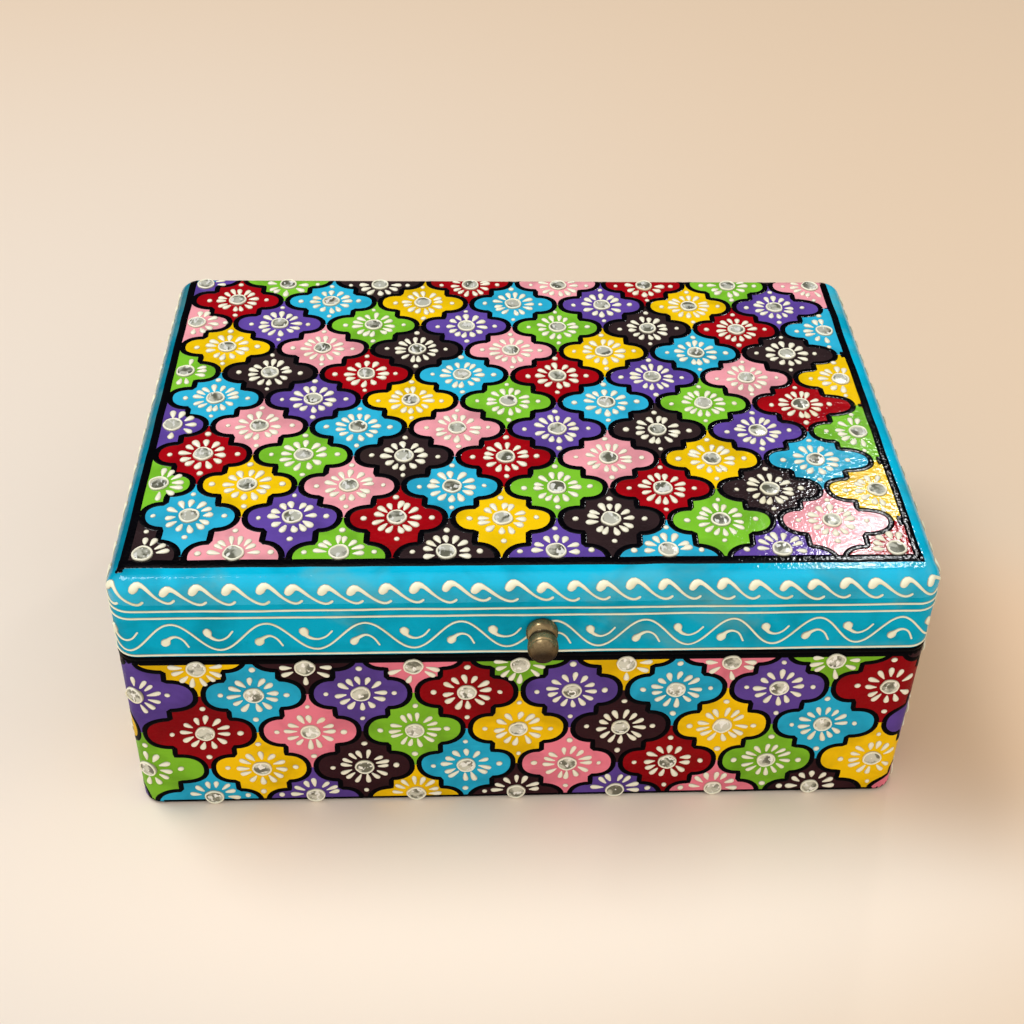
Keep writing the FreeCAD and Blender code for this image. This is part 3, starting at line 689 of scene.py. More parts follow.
class WallLayout:
    """Where the tiles of the base's walls lie, in flat coordinates."""

    def __init__(self, tiles, outside):
        self.tiles = tiles
        self.outside = outside
        self.pitch = outside.around / tiles.wall_columns
        self.row = tiles.wall_row
        self.lobe = tiles.wall_lobe
        self.surface = outside.base_side

    def middle(self, column, number):
        return (self.tiles.wall_start + self.pitch * (column + (number % 2) / 2),
                self.tiles.wall_middle + self.row * number)

    def drawn(self, along, rise):
        near = self.outside.from_front(along)
        reach = self.tiles.corner_share
        part = clamp((abs(near) - self.outside.run_x / 2) / self.pitch, -reach, reach)
        swell = math.cos(math.pi / 2 * part / reach) ** 2
        along += math.copysign(self.tiles.corner_drift * swell, near)
        place, _ = self.outside.rim(along)
        shift = stray((place.x, place.y, rise), self.tiles.hand_drift, self.tiles.drift_grain,
                      STRAY_SEEDS["wall"])
        return along + shift[0], rise + shift[1]

    def paint(self, column, number):
        columns = self.tiles.wall_columns
        column = (column + columns // 2) % columns - columns // 2
        names = FRONT_ROWS[FRONT_TOP_ROW - number].split()
        place = column + len(names) // 2
        if 0 <= place < len(names):
            return names[place]
        return PAINTS[(WALL_COLUMN_STEP * column + WALL_ROW_STEP * number) % len(PAINTS)]

    def limits(self, wall):
        start, end = self.outside.wall_span(WALLS.index(wall))
        head = self.tiles.back_head if wall == "back" else self.tiles.wall_head
        return (start, self.tiles.wall_foot), (end, BASE_TOP - head)

    def lattice(self, wall):
        (start, _), (end, _) = self.limits(wall)
        first = math.floor((start - self.tiles.wall_start) / self.pitch) - 1
        last = math.ceil((end - self.tiles.wall_start) / self.pitch) + 1
        return [(i, j) for j in WALL_ROWS for i in range(first, last + 1)]


# Corners of a tile this near to a cut count as on it
CUT_NEARNESS = 1e-7


def tile_piece(name, body, layout, spots, low, high, bends, materials, film):
    """Paint films of tiles inside a box of flat coordinates, bent over the board along the given lines."""
    outline = ogee_tile(layout.pitch, layout.row, layout.lobe)
    build = bmesh.new()
    for column, number in spots:
        x, y = layout.middle(column, number)
        corners = [layout.drawn(x + dx, y + dy) for dx, dy in outline]
        if max(c[0] for c in corners) < low[0] or min(c[0] for c in corners) > high[0]:
            continue
        if max(c[1] for c in corners) < low[1] or min(c[1] for c in corners) > high[1]:
            continue
        face = build.faces.new([build.verts.new((cx, cy, 0)) for cx, cy in corners])
        face.material_index = PAINTS.index(layout.paint(column, number))
    build.normal_update()
    bmesh.ops.triangulate(build, faces=build.faces[:], ngon_method="EAR_CLIP")
    edges = [((low[0], 0, 0), (-1, 0, 0)), ((high[0], 0, 0), (1, 0, 0)),
             ((0, low[1], 0), (0, -1, 0)), ((0, high[1], 0), (0, 1, 0))]
    for lines, trimmed in ((edges, True), (bends, False)):
        for place, way in lines:
            bmesh.ops.bisect_plane(build, geom=build.verts[:] + build.edges[:] + build.faces[:],
                                   dist=CUT_NEARNESS, plane_co=place, plane_no=way, clear_outer=trimmed)
    under = {}
    for vert in build.verts[:]:
        under[vert] = build.verts.new(layout.surface(vert.co.x, vert.co.y, -BEAD_SINK))
    for vert in under:
        vert.co = layout.surface(vert.co.x, vert.co.y, film)
    rims = [edge for edge in build.edges if len(edge.link_faces) == 1]
    for face in build.faces[:]:
        copy = build.faces.new([under[vert] for vert in reversed(face.verts)])
        copy.material_index = face.material_index
    for edge in rims:
        a, b = edge.verts
        side = build.faces.new((a, b, under[b], under[a]))
        side.material_index = edge.link_faces[0].material_index
    mesh = bpy.data.meshes.new(name)
    build.to_mesh(mesh)
    build.free()
    return finish_piece(mesh, name, body, materials, TILE_SHARP)


# Smears below the border's front left corner: to the left, downwards and half-width in millimetres
CORNER_SMEAR = ((0.6, 1.6, 1.3), (1.3, 2.8, 0.9), (0.3, 3.0, 0.7))
# How far the outlines along the sides' rims end from the middle of a back corner, where the rim is bevelled
BEVEL_STOP = 2 * MM


def outline_strokes(layout, spots, low, high):
    """Black lines between tiles inside a box of flat coordinates."""
    quarter = ogee_quarter(layout.pitch, layout.row, layout.lobe)
    for column, number in spots:
        x, y = layout.middle(column, number)
        for side in (1, -1):
            line = [layout.drawn(x + side * dx, y + dy) for dx, dy in quarter]
            yield from clipped(line, low, high)


# Points of one mirror are closer to each other than this
MIRROR_REACH = 6.5 * MM


def mirror_middles(node):
    """Middle of each mirror of a CAD node."""
    heaps = []
    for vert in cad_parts[node].data.vertices:
        for heap in heaps:
            if (heap[0] - vert.co).length < MIRROR_REACH:
                heap.append(vert.co.copy())
                break
        else:
            heaps.append([vert.co.copy()])
    return [sum(heap, Vector()) / len(heap) for heap in heaps]


class Spot:
    """A place on the box in flat coordinates and in space, with a frame square to the board."""

    def __init__(self, x, y, place, out, across, up):
        self.x, self.y = x, y
        self.place, self.out, self.across, self.up = place, out, across, up

    def tilted(self, draw):
        """The same spot, with its mirror glued a little askew."""
        lean = draw.uniform(-MIRROR_TILT_SHARE, MIRROR_TILT_SHARE)
        tip = draw.uniform(-MIRROR_TILT_SHARE, MIRROR_TILT_SHARE)
        out = (self.out + self.across * lean + self.up * tip).normalized()
        across = (self.across - out * self.across.dot(out)).normalized()
        return Spot(self.x, self.y, self.place, out, across, out.cross(across))


def panel_spots():
    found = []
    for middle in mirror_middles("top_mirrors"):
        place = Vector((middle.x, middle.y, LID_TOP))
        found.append(Spot(middle.x, middle.y, place, Vector((0, 0, 1)), Vector((1, 0, 0)), Vector((0, 1, 0))))
    return found


RIM_MARKS = 1600


def wall_spots(outside, wall):
    """Flowers of one wall; each mirror's place round the box is the nearest mark on the rim."""
    marks = [outside.around * k / RIM_MARKS for k in range(RIM_MARKS)]
    rims = [(along, *outside.rim(along)) for along in marks]
    start, _ = outside.wall_span(WALLS.index(wall))
    found = []
    for middle in mirror_middles(wall + "_mirrors"):
        along, place, out = min(rims, key=lambda mark: (mark[1] - middle.xy).length)
        along = (along - start) % outside.around + start
        found.append(Spot(along, middle.z, Vector((place.x, place.y, middle.z)), Vector((out.x, out.y, 0)),
                          Vector((-out.y, out.x, 0)), Vector((0, 0, 1))))
    return found


def petal_width(tail, wide):
    """Half-widths of a petal that swells from a thin tail to a round end."""
    return lambda part: tail + (wide - tail) * math.sin(math.pi / 2 * min(part / PETAL_BELLY_SHARE, 1)) ** 1.3


def within(outline, x, y):
    """Whether a flat point lies inside a closed outline."""
    inside = False
    for (ax, ay), (bx, by) in zip(outline, outline[1:] + outline[:1]):
        if (ay > y) != (by > y) and x < ax + (bx - ax) * (y - ay) / (by - ay):
            inside = not inside
    return inside


def own_tile(layout, lattice, spot):
    """Drawn outline of the tile that a flower belongs to."""
    def away(place):
        x, y = layout.drawn(*layout.middle(*place))
        return math.hypot(x - spot.x, y - spot.y)

    x, y = layout.middle(*min(lattice, key=away))
    return [layout.drawn(x + dx, y + dy) for dx, dy in ogee_tile(layout.pitch, layout.row, layout.lobe)]


# How petals and dots vary: turns in radians, shares of the even sizes, and a shift in millimetres
FLOWER_TURN = 0.12
PETAL_TURN = 0.07
PETAL_BOW = 0.12
PETAL_STARTS = (0.96, 1.1)
PETAL_ENDS = (0.94, 1.06)
PETAL_WIDTHS = (0.86, 1.08)
PETAL_TAILS = (0.7, 1.4)
DOT_SHIFT = 0.5
DOT_WIDTHS = (0.85, 1.15)
DOT_SQUASH = (0.82, 1.0)
DOT_RISE_SHARE = 0.5
# Points along a petal, as shares of its length
PETAL_PARTS = (0, 0.33, 0.67, 1)
PETAL_STEP = 0.75 * MM


def petal_strokes(build, layout, spot, outline, flowers, kind, low, high, draw):
    """Petals and dots about one mirror, left out where they would cross the border or leave their tile."""
    gap = flowers.edge_gap
    start = getattr(flowers, kind + "_petal_start")
    end = getattr(flowers, kind + "_petal_end")
    width = getattr(flowers, kind + "_petal_width")
    tip = getattr(flowers, kind + "_dot_tip")

    def inside(x, y):
        return low[0] + gap < x < high[0] - gap and low[1] + gap < y < high[1] - gap and within(outline, x, y)

    count = draw.choice(PETAL_COUNTS)
    first = draw.uniform(-FLOWER_TURN, FLOWER_TURN)
    for number in range(count):
        turn = first + 2 * math.pi * number / count + draw.uniform(-PETAL_TURN, PETAL_TURN)
        bow = draw.uniform(-PETAL_BOW, PETAL_BOW)
        inner = start * draw.uniform(*PETAL_STARTS)
        outer = end * draw.uniform(*PETAL_ENDS)
        wide = width / 2 * draw.uniform(*PETAL_WIDTHS) * PETAL_COUNTS[0] / count
        tail = flowers.petal_tail / 2 * draw.uniform(*PETAL_TAILS)
        line = [(spot.x + r * math.cos(turn + bow * part), spot.y + r * math.sin(turn + bow * part))
                for part in PETAL_PARTS for r in [inner + (outer - inner) * part]]
        if all(inside(*p) for p in line):
            bead(build, layout.surface, line, petal_width(tail, wide), 2 * flowers.petal_rise / width,
                 step=PETAL_STEP)
    room = flowers.dot_gap
    for dx, dy in ((flowers.dot_side, 0), (-flowers.dot_side, 0), (0, tip), (0, -tip)):
        x = spot.x + dx + draw.uniform(-DOT_SHIFT, DOT_SHIFT) * MM
        y = spot.y + dy + draw.uniform(-DOT_SHIFT, DOT_SHIFT) * MM
        half = flowers.dot_width / 2 * draw.uniform(*DOT_WIDTHS)
        turn = draw.uniform(0, math.pi)
        squash = draw.uniform(*DOT_SQUASH)
        if all(inside(x + a * room, y + b * room) for a, b in ((1, 0), (-1, 0), (0, 1), (0, -1))):
            dot(build, layout.surface, x, y, half, DOT_RISE_SHARE * half, turn, squash)


RING_SPOKES = 26
WOBBLE_GRAIN = 1.3
# Height of a ring's edges and steps of its arch, and places across a mirror as shares of its radius
RING_SHOULDER = 0.35
RING_STEPS = 6
GLASS_PARTS = (0.02, 0.25, 0.5, 0.75, 0.92, 1)


def lathe(build, spot, profile, spokes, closed, wobble=0.0, seed=0, foot=-1.0):
    """Turns a profile of (radius, height) about a line square to the board, above a foot height."""
    rings = []
    crests = []
    top = max(height for _, height in profile)
    for radius, height in profile:
        ring = []
        for k in range(spokes):
            turn = 2 * math.pi * k / spokes
            grain = Vector((WOBBLE_GRAIN * math.cos(turn), WOBBLE_GRAIN * math.sin(turn), seed))
            reach = radius + wobble * noise.noise(grain)
            place = spot.place + spot.out * height
            place += (spot.across * math.cos(turn) + spot.up * math.sin(turn)) * reach
            ring.append(Vector((place.x, place.y, max(place.z, foot))))
        rings.append(ring)
        crests.append([max(height / top, 0)] * spokes)
    build.skin(rings, crests, closed)


def ring_profile(flowers, kind):
    outer = getattr(flowers, kind + "_ring_outer")
    inner = getattr(flowers, kind + "_ring_inner")
    rise = flowers.ring_rise
    middle = (outer + inner) / 2
    half = (outer - inner) / 2
    sunk = -rise / 2
    arch = [(middle + half * math.cos(a), rise * (RING_SHOULDER + (1 - RING_SHOULDER) * math.sin(a)))
            for a in [math.pi * k / RING_STEPS for k in range(RING_STEPS + 1)]]
    return [(outer, sunk), *arch, (inner, sunk)]


def glass_profile(flowers, kind):
    rise = getattr(flowers, kind + "_glass_rise")
    edge = flowers.glass_reach
    crown = flowers.glass_crown
    dome = [(edge * part, rise - crown * part * part) for part in GLASS_PARTS]
    return [*dome, (edge, -crown)]


def put(tree, kind, **values):
    """Adds a node and sets its values."""
    node = tree.nodes.new(kind)
    for name, value in values.items():
        setattr(node, name, value)
    return node


def feed(tree, socket, value):
    """Links a socket to another one, or sets it to a plain value."""
    if isinstance(value, bpy.types.NodeSocket):
        tree.links.new(value, socket)
    else:
        socket.default_value = value


def mixed(tree, factor, first, second, blend="MIX"):
    node = put(tree, "ShaderNodeMix", data_type="RGBA", blend_type=blend)
    for index, value in ((0, factor), (6, first), (7, second)):
        feed(tree, node.inputs[index], value)
    return node.outputs[2]


def speckle(tree, place, scale, detail=3.0, roughness=0.55, distortion=0.0):
    node = put(tree, "ShaderNodeTexNoise")
    for name, value in (("Vector", place), ("Scale", scale), ("Detail", detail), ("Roughness", roughness),
                        ("Distortion", distortion)):
        feed(tree, node.inputs[name], value)
    return node.outputs[0]


def ranged(tree, value, low, high, to_low=0.0, to_high=1.0):
    node = put(tree, "ShaderNodeMapRange", interpolation_type="SMOOTHSTEP")
    for index, number in enumerate((value, low, high, to_low, to_high)):
        feed(tree, node.inputs[index], number)
    return node.outputs[0]


def joined(tree, first, second, operation="ADD"):
    """Two values joined by a maths operation."""
    node = put(tree, "ShaderNodeMath", operation=operation)
    feed(tree, node.inputs[0], first)
    feed(tree, node.inputs[1], second)
    return node.outputs[0]


def stretched(tree, place, scale):
    node = put(tree, "ShaderNodeMapping")
    feed(tree, node.inputs["Vector"], place)
    feed(tree, node.inputs["Scale"], scale)
    return node.outputs[0]


FLOAT, TINT = "NodeSocketFloat", "NodeSocketColor"
# What every effect puts out
EFFECT_OUTPUTS = (("Color", TINT), ("Roughness", FLOAT), ("Height", FLOAT))


def effect(name, inputs):
    """A shader node group with the named inputs; returns its tree, inputs, outputs and object coordinates."""
    tree = bpy.data.node_groups.new(name, "ShaderNodeTree")
    for label, kind, value in inputs:
        socket = tree.interface.new_socket(label, in_out="INPUT", socket_type=kind)
        socket.default_value = value
    for label, kind in EFFECT_OUTPUTS:
        tree.interface.new_socket(label, in_out="OUTPUT", socket_type=kind)
    entry = tree.nodes.new("NodeGroupInput")
    leaving = tree.nodes.new("NodeGroupOutput")
    place = put(tree, "ShaderNodeTexCoord").outputs["Object"]
    return tree, entry.outputs, leaving.inputs, place


def enamel_effect():
    """Brushed enamel under yellowed varnish: streaks, blotches, stains, and painted shade on the lid's left
    side.
    """
    tree, given, made, place = effect(
        "hand_enamel",
        [("Paint", TINT, (0.5, 0.5, 0.5, 1)), ("Shade", TINT, (0.3, 0.3, 0.3, 1)),
         ("Stain", TINT, (0.3, 0.3, 0.1, 1)), ("Stain Amount", FLOAT, 0.2), ("Gloss", FLOAT, 0.25),
         ("Left Coat", FLOAT, 0.0)])
    streaks = speckle(tree, stretched(tree, place, (70, 420, 420)), 1.0, 4.0, 0.6, 0.6)
    blotches = speckle(tree, place, 75.0, 3.0, 0.5, 0.4)
    stains = speckle(tree, place, 26.0, 4.0, 0.6, 0.8)
    grit = speckle(tree, place, 850.0, 1.0, 0.5)
    body = mixed(tree, ranged(tree, blotches, 0.38, 0.72), given["Paint"], given["Shade"])
    light = mixed(tree, ranged(tree, streaks, 0.55, 0.8, 0.0, 0.22), body, (1, 1, 1, 1), "SOFT_LIGHT")
    mask = joined(tree, ranged(tree, stains, 0.52, 0.75), given["Stain Amount"], "MULTIPLY")
    # Painted shade: darkens the paint towards the lid's left side, behind its front corner
    apart = put(tree, "ShaderNodeSeparateXYZ")
    tree.links.new(place, apart.inputs[0])
    left = joined(tree, ranged(tree, apart.outputs["X"], *LEFT_PAINTED_SHADE_ACROSS), given["Left Coat"], "MULTIPLY")
    behind = ranged(tree, apart.outputs["Y"], *LEFT_PAINTED_SHADE_BACK)
    left_shaded = mixed(tree, joined(tree, left, behind, "MULTIPLY"), light, (0.0, 0.0, 0.0, 1))
    tree.links.new(mixed(tree, mask, left_shaded, given["Stain"]), made["Color"])
    rough = ranged(tree, streaks, 0.3, 0.75, 0.8, 1.5)
    tree.links.new(joined(tree, rough, given["Gloss"], "MULTIPLY"), made["Roughness"])
    smooth = joined(tree, joined(tree, streaks, blotches), 0.5, "MULTIPLY")
    relief = joined(tree, smooth, joined(tree, grit, 1.5, "MULTIPLY"))
    tree.links.new(relief, made["Height"])
    return tree


def soiled_and_shaded_effect():
    """Raised paint, light on its crest and darker at its foot, as pooled varnish and painted shade, with
    yellowed spots.
    """
    tree, given, made, place = effect(
        "soiled_relief",
        [("Crest", FLOAT, 1.0), ("Paint", TINT, (0.8, 0.8, 0.6, 1)), ("Edge", TINT, (0.3, 0.3, 0.2, 1)),
         ("Stain", TINT, (0.5, 0.4, 0.1, 1))])
    cloud = speckle(tree, place, 160.0, 3.0, 0.6)
    spots = speckle(tree, place, 55.0, 3.0, 0.6)
    grit = speckle(tree, place, 1400.0, 2.0, 0.5)
    # Darker towards the foot: pooled varnish, and painted shade where the raised paint meets the board
    level = joined(tree, given["Crest"], joined(tree, cloud, 0.5, "MULTIPLY"))
    with_foot_shade = mixed(tree, ranged(tree, level, 0.32, 1.05), given["Edge"], given["Paint"])
    stained = ranged(tree, spots, 0.58, 0.78, 0.0, 0.45)
    tree.links.new(mixed(tree, stained, with_foot_shade, given["Stain"]), made["Color"])
    tree.links.new(ranged(tree, cloud, 0.3, 0.7, 0.28, 0.5), made["Roughness"])
    tree.links.new(joined(tree, cloud, joined(tree, grit, 0.4, "MULTIPLY")), made["Height"])
    return tree


def tarnish_effect():
    """Worn metal: bright where it is handled, dark where tarnish stays, and where the patina input marks
    tarnish in hollows and painted shade.
    """
    tree, given, made, place = effect(
        "tarnish",
        [("Metal", TINT, (0.7, 0.6, 0.3, 1)), ("Tarnish", TINT, (0.1, 0.08, 0.05, 1)), ("Amount", FLOAT, 0.5),
         ("Scale", FLOAT, 300.0), ("Patina", FLOAT, 0.0)])
    cloud = speckle(tree, place, given["Scale"], 4.0, 0.65, 0.5)
    fine = speckle(tree, stretched(tree, place, (600, 2600, 600)), 1.0, 2.0, 0.5)
    worn = joined(tree, ranged(tree, cloud, 0.36, 0.64), given["Amount"], "MULTIPLY")
    # The patina input holds tarnish and, on the knob, painted shade
    mask = joined(tree, worn, given["Patina"], "MAXIMUM")
    tree.links.new(mixed(tree, mask, given["Metal"], given["Tarnish"]), made["Color"])
    tree.links.new(ranged(tree, cloud, 0.25, 0.75, 0.14, 0.4), made["Roughness"])
    tree.links.new(joined(tree, cloud, fine), made["Height"])
    return tree


def silver_effect():
    """Mirror glass: light and darker patches, as spotted silvering and as painted reflections, with a few
    painted glints.
    """
    tree, given, made, place = effect(
        "spotted_silver", [("Glass", TINT, (0.7, 0.7, 0.6, 1)), ("Dull", TINT, (0.2, 0.2, 0.15, 1))])
    patches = speckle(tree, place, 210.0, 1.0, 0.5, 0.6)
    flecks = speckle(tree, place, 1100.0, 2.0, 0.6)
    glints = speckle(tree, stretched(tree, place, (700, 380, 500)), 1.0, 1.0, 0.5)
    cloud = joined(tree, patches, joined(tree, flecks, 0.22, "MULTIPLY"))
    tint = mixed(tree, ranged(tree, cloud, 0.55, 0.74), given["Glass"], given["Dull"])
    # Painted glints: bright highlights mixed into the glass's colour
    tree.links.new(mixed(tree, ranged(tree, glints, 0.57, 0.63), tint, (0.95, 0.95, 0.9, 1)), made["Color"])
    tree.links.new(ranged(tree, patches, 0.3, 0.7, 0.1, 0.3), made["Roughness"])
    tree.links.new(patches, made["Height"])
    return tree


def felt_effect():
    """Pressed felt: tangled fibres over soft clumps."""
    tree, given, made, place = effect(
        "pressed_felt", [("Felt", TINT, (0.2, 0.0, 0.0, 1)), ("Fibre", TINT, (0.4, 0.1, 0.1, 1))])
    fibres = speckle(tree, place, 1500.0, 6.0, 0.75, 2.5)
    clumps = speckle(tree, place, 180.0, 3.0, 0.6)
    both = joined(tree, fibres, joined(tree, clumps, 0.5, "MULTIPLY"))
    tree.links.new(mixed(tree, ranged(tree, both, 0.62, 1.0), given["Felt"], given["Fibre"]), made["Color"])
    tree.links.new(ranged(tree, fibres, 0.2, 0.8, 0.82, 1.0), made["Roughness"])
    tree.links.new(both, made["Height"])
    return tree


def grain_effect():
    """Plain board: growth rings drawn out along its length, with fine pores."""
    tree, given, made, place = effect(
        "board_grain", [("Wood", TINT, (0.5, 0.35, 0.2, 1)), ("Grain", TINT, (0.3, 0.2, 0.1, 1))])
    rings = speckle(tree, stretched(tree, place, (9, 150, 150)), 1.0, 5.0, 0.6, 1.2)
    pores = speckle(tree, stretched(tree, place, (120, 2200, 2200)), 1.0, 2.0, 0.5)
    both = joined(tree, rings, joined(tree, pores, 0.35, "MULTIPLY"))
    tree.links.new(mixed(tree, ranged(tree, both, 0.5, 0.85), given["Wood"], given["Grain"]), made["Color"])
    tree.links.new(ranged(tree, pores, 0.3, 0.7, 0.55, 0.8), made["Roughness"])
    tree.links.new(both, made["Height"])
    return tree


EFFECTS = {"hand_enamel": enamel_effect, "soiled_relief": soiled_and_shaded_effect, "tarnish": tarnish_effect,
           "spotted_silver": silver_effect, "pressed_felt": felt_effect, "board_grain": grain_effect}


def finished(name, effect_name, values, bump, distance, **sockets):
    """A material with its colour, roughness and bump from one effect, and plain values on other sockets."""
    known = bpy.data.materials.get(name)
    if known:
        return known
    material = bpy.data.materials.new(name)
    material.use_nodes = True
    tree = material.node_tree
    surface = tree.nodes["Principled BSDF"]
    group = put(tree, "ShaderNodeGroup")
    group.node_tree = bpy.data.node_groups.get(effect_name) or EFFECTS[effect_name]()
    for label, value in values.items():
        feed(tree, group.inputs[label], value)
    for label in ("Crest", "Patina"):
        if label in group.inputs:
            painted = put(tree, "ShaderNodeAttribute", attribute_name=label.lower())
            tree.links.new(painted.outputs["Fac"], group.inputs[label])
    relief = put(tree, "ShaderNodeBump")
    relief.inputs["Strength"].default_value = bump
    relief.inputs["Distance"].default_value = distance
    tree.links.new(group.outputs["Height"], relief.inputs["Height"])
    tree.links.new(group.outputs["Color"], surface.inputs["Base Color"])
    tree.links.new(group.outputs["Roughness"], surface.inputs["Roughness"])
    tree.links.new(relief.outputs["Normal"], surface.inputs["Normal"])
    for label, value in sockets.items():
        surface.inputs[label.replace("_", " ").title().replace("Ior", "IOR")].default_value = value
    return material


# Roughness and shine of the varnish: thick on the panel, thin on the walls
VARNISH = {"panel": (0.08, 0.5), "wall": (0.34, 0.03)}
# Painted shade: paints darker on the walls and the lid's sides, for the lesser light there: red, green, blue
WALL_SHADE_SHARES = {"crimson": (0.7, 0.7, 0.7), "pink": (0.92, 0.56, 0.66), "turquoise": (0.86, 0.86, 0.86),
               "umber": (1.0, 0.5, 0.65), "blue": (0.65, 0.86, 0.88), "purple": (0.86, 0.84, 0.8),
               "green": (0.95, 0.84, 0.8), "yellow": (0.98, 0.92, 1.0)}
# Painted shade on the lid's left side: how much darker the turquoise is there, and where that begins and is
# full: towards the left, and back from the front corner
LEFT_PAINTED_SHADE = 0.55
LEFT_PAINTED_SHADE_ACROSS = (-0.117, -0.122)
LEFT_PAINTED_SHADE_BACK = (-0.086, -0.074)


def darker(paint, amount):
    return (paint[0] * amount, paint[1] * amount, paint[2] * amount, 1)


def with_side_shade(paint, name, bed):
    """A paint as it is on the panel, or darkened by painted shade on the walls and the lid's sides."""
    shares = WALL_SHADE_SHARES[name] if bed == "wall" else (1, 1, 1)
    return (*[value * part for value, part in zip(paint, shares)], 1)


def enamel(name, paint, shade, varnish, stain, gloss, shine, left=0.0):
    return finished(name, "hand_enamel", {"Paint": paint, "Shade": shade, "Stain": varnish,
                                          "Stain Amount": stain, "Gloss": gloss, "Left Coat": left},
                    0.5, 0.1 * MM, specular_ior_level=shine)


def lid_enamel(paint, bed):
    gloss, shine = VARNISH[bed]
    plain = with_side_shade(paint.turquoise, "turquoise", bed)
    shade = with_side_shade(paint.turquoise_shade, "turquoise", bed)
    # The last value is painted shade on the lid's left side
    return enamel(bed + "_turquoise", plain, shade, paint.varnish, 0.3, gloss, shine * 0.6, LEFT_PAINTED_SHADE)


def ground_enamel(paint):
    return enamel("dark_ground", paint.ground, darker(paint.ground, 0.6), paint.varnish, 0.0, 0.35, 0.03)


def outline_enamel(paint, bed):
    gloss, shine = VARNISH[bed]
    return enamel(bed + "_black", paint.black, darker(paint.black, 1.8), paint.varnish, 0.0, gloss, shine / 2)


def tile_enamels(paint, bed):
    gloss, shine = VARNISH[bed]
    found = []
    for name in PAINTS:
        tint = with_side_shade(getattr(paint, name), name, bed)
        shade = darker(tint, 0.72)
        found.append(enamel("%s_%s" % (bed, name), tint, shade, paint.varnish, 0.012, gloss, shine))
    return found


def cream_relief(name, paint, edge, stain):
    return finished(name, "soiled_relief", {"Paint": paint, "Edge": edge, "Stain": stain}, 0.25, 0.1 * MM,
                    coat_weight=0.35, coat_roughness=0.15)


def raised_cream(paint):
    return cream_relief("raised_cream", paint.cream, paint.cream_foot_dirt_and_shade, (0.72, 0.58, 0.24, 1))


def lid_cream(paint):
    return cream_relief("lid_cream", paint.cream_line, paint.cream_foot_dirt_and_shade, (0.60, 0.55, 0.16, 1))


def mirror_silver(paint):
    return finished("mirror_silver", "spotted_silver", {"Glass": paint.glass, "Dull": paint.glass_dull},
                    0.4, 0.2 * MM, metallic=0.28)


def worn_metal(name, metal, tarnish, amount, scale, bump, distance, **sockets):
    return finished(name, "tarnish", {"Metal": metal, "Tarnish": tarnish, "Amount": amount, "Scale": scale},
                    bump, distance, **sockets)


def knob_metal(paint):
    return worn_metal("antique_brass", paint.knob_brass, paint.knob_tarnish, 0.64, 330.0, 0.36, 0.15 * MM,
                      metallic=0.72, specular_tint=(0.4, 0.32, 0.18, 1))


def hinge_metal(paint):
    return worn_metal("pressed_brass", paint.hinge_brass, darker(paint.hinge_brass, 0.3), 0.5, 200.0, 0.2,
                      0.1 * MM, metallic=1.0)


def plain_steel(paint):
    return worn_metal("plain_steel", paint.steel, darker(paint.steel, 0.4), 0.5, 500.0, 0.2, 0.1 * MM,
                      metallic=1.0)


def red_felt(paint):
    return finished("red_felt", "pressed_felt", {"Felt": paint.felt, "Fibre": paint.felt_light},
                    0.6, 0.5 * MM, sheen_weight=0.35, sheen_roughness=0.5)


def plain_board(paint):
    return finished("plain_board", "board_grain", {"Wood": paint.wood, "Grain": paint.wood_dark},
                    0.3, 0.2 * MM)


def dress(nodes, material):
    """Gives CAD nodes a finish."""
    for name in nodes:
        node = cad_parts[name]
        node.data.materials.clear()
        node.data.materials.append(material)


class KEEPSAKE_OT_boards(bpy.types.Operator):
    """Paint the boards of the lid and the base, and leave the floor plain"""

    bl_idname = "keepsake.boards"
    bl_label = "Boards"

    def execute(self, context):
        paint = context.scene.keepsake_paint
        dress(["lid_top_board"], lid_enamel(paint, "panel"))
        dress(["lid_%s_rail" % wall for wall in WALLS], lid_enamel(paint, "wall"))
        dress(["base_%s_wall" % wall for wall in WALLS], ground_enamel(paint))
        dress(["base_floor"], plain_board(paint))
        return {"FINISHED"}


class KEEPSAKE_OT_hardware(bpy.types.Operator):
    """Finish the hinges, screws, pins and brads"""

    bl_idname = "keepsake.hardware"
    bl_label = "Hardware"

    def execute(self, context):
        paint = context.scene.keepsake_paint
        brass = ["hinge_base_screws", "hinge_lid_screws"]
        brass += ["%s_hinge_%s_leaf" % (side, body) for side in ("left", "right") for body in ("base", "lid")]
        dress(brass, hinge_metal(paint))
        wire = ["base_wall_brads", "floor_brads", "lid_rail_brads", "lid_board_brads", "left_hinge_pin",
                "right_hinge_pin", "knob_screw"]
        dress(wire, plain_steel(paint))
        return {"FINISHED"}


# Lines along which the tile films are bent: over the lid's back edge, and round each half corner of the base
BACK_BENDS = 6
BACK_BEND_STEP = 0.7 * MM
CORNER_BENDS = 5


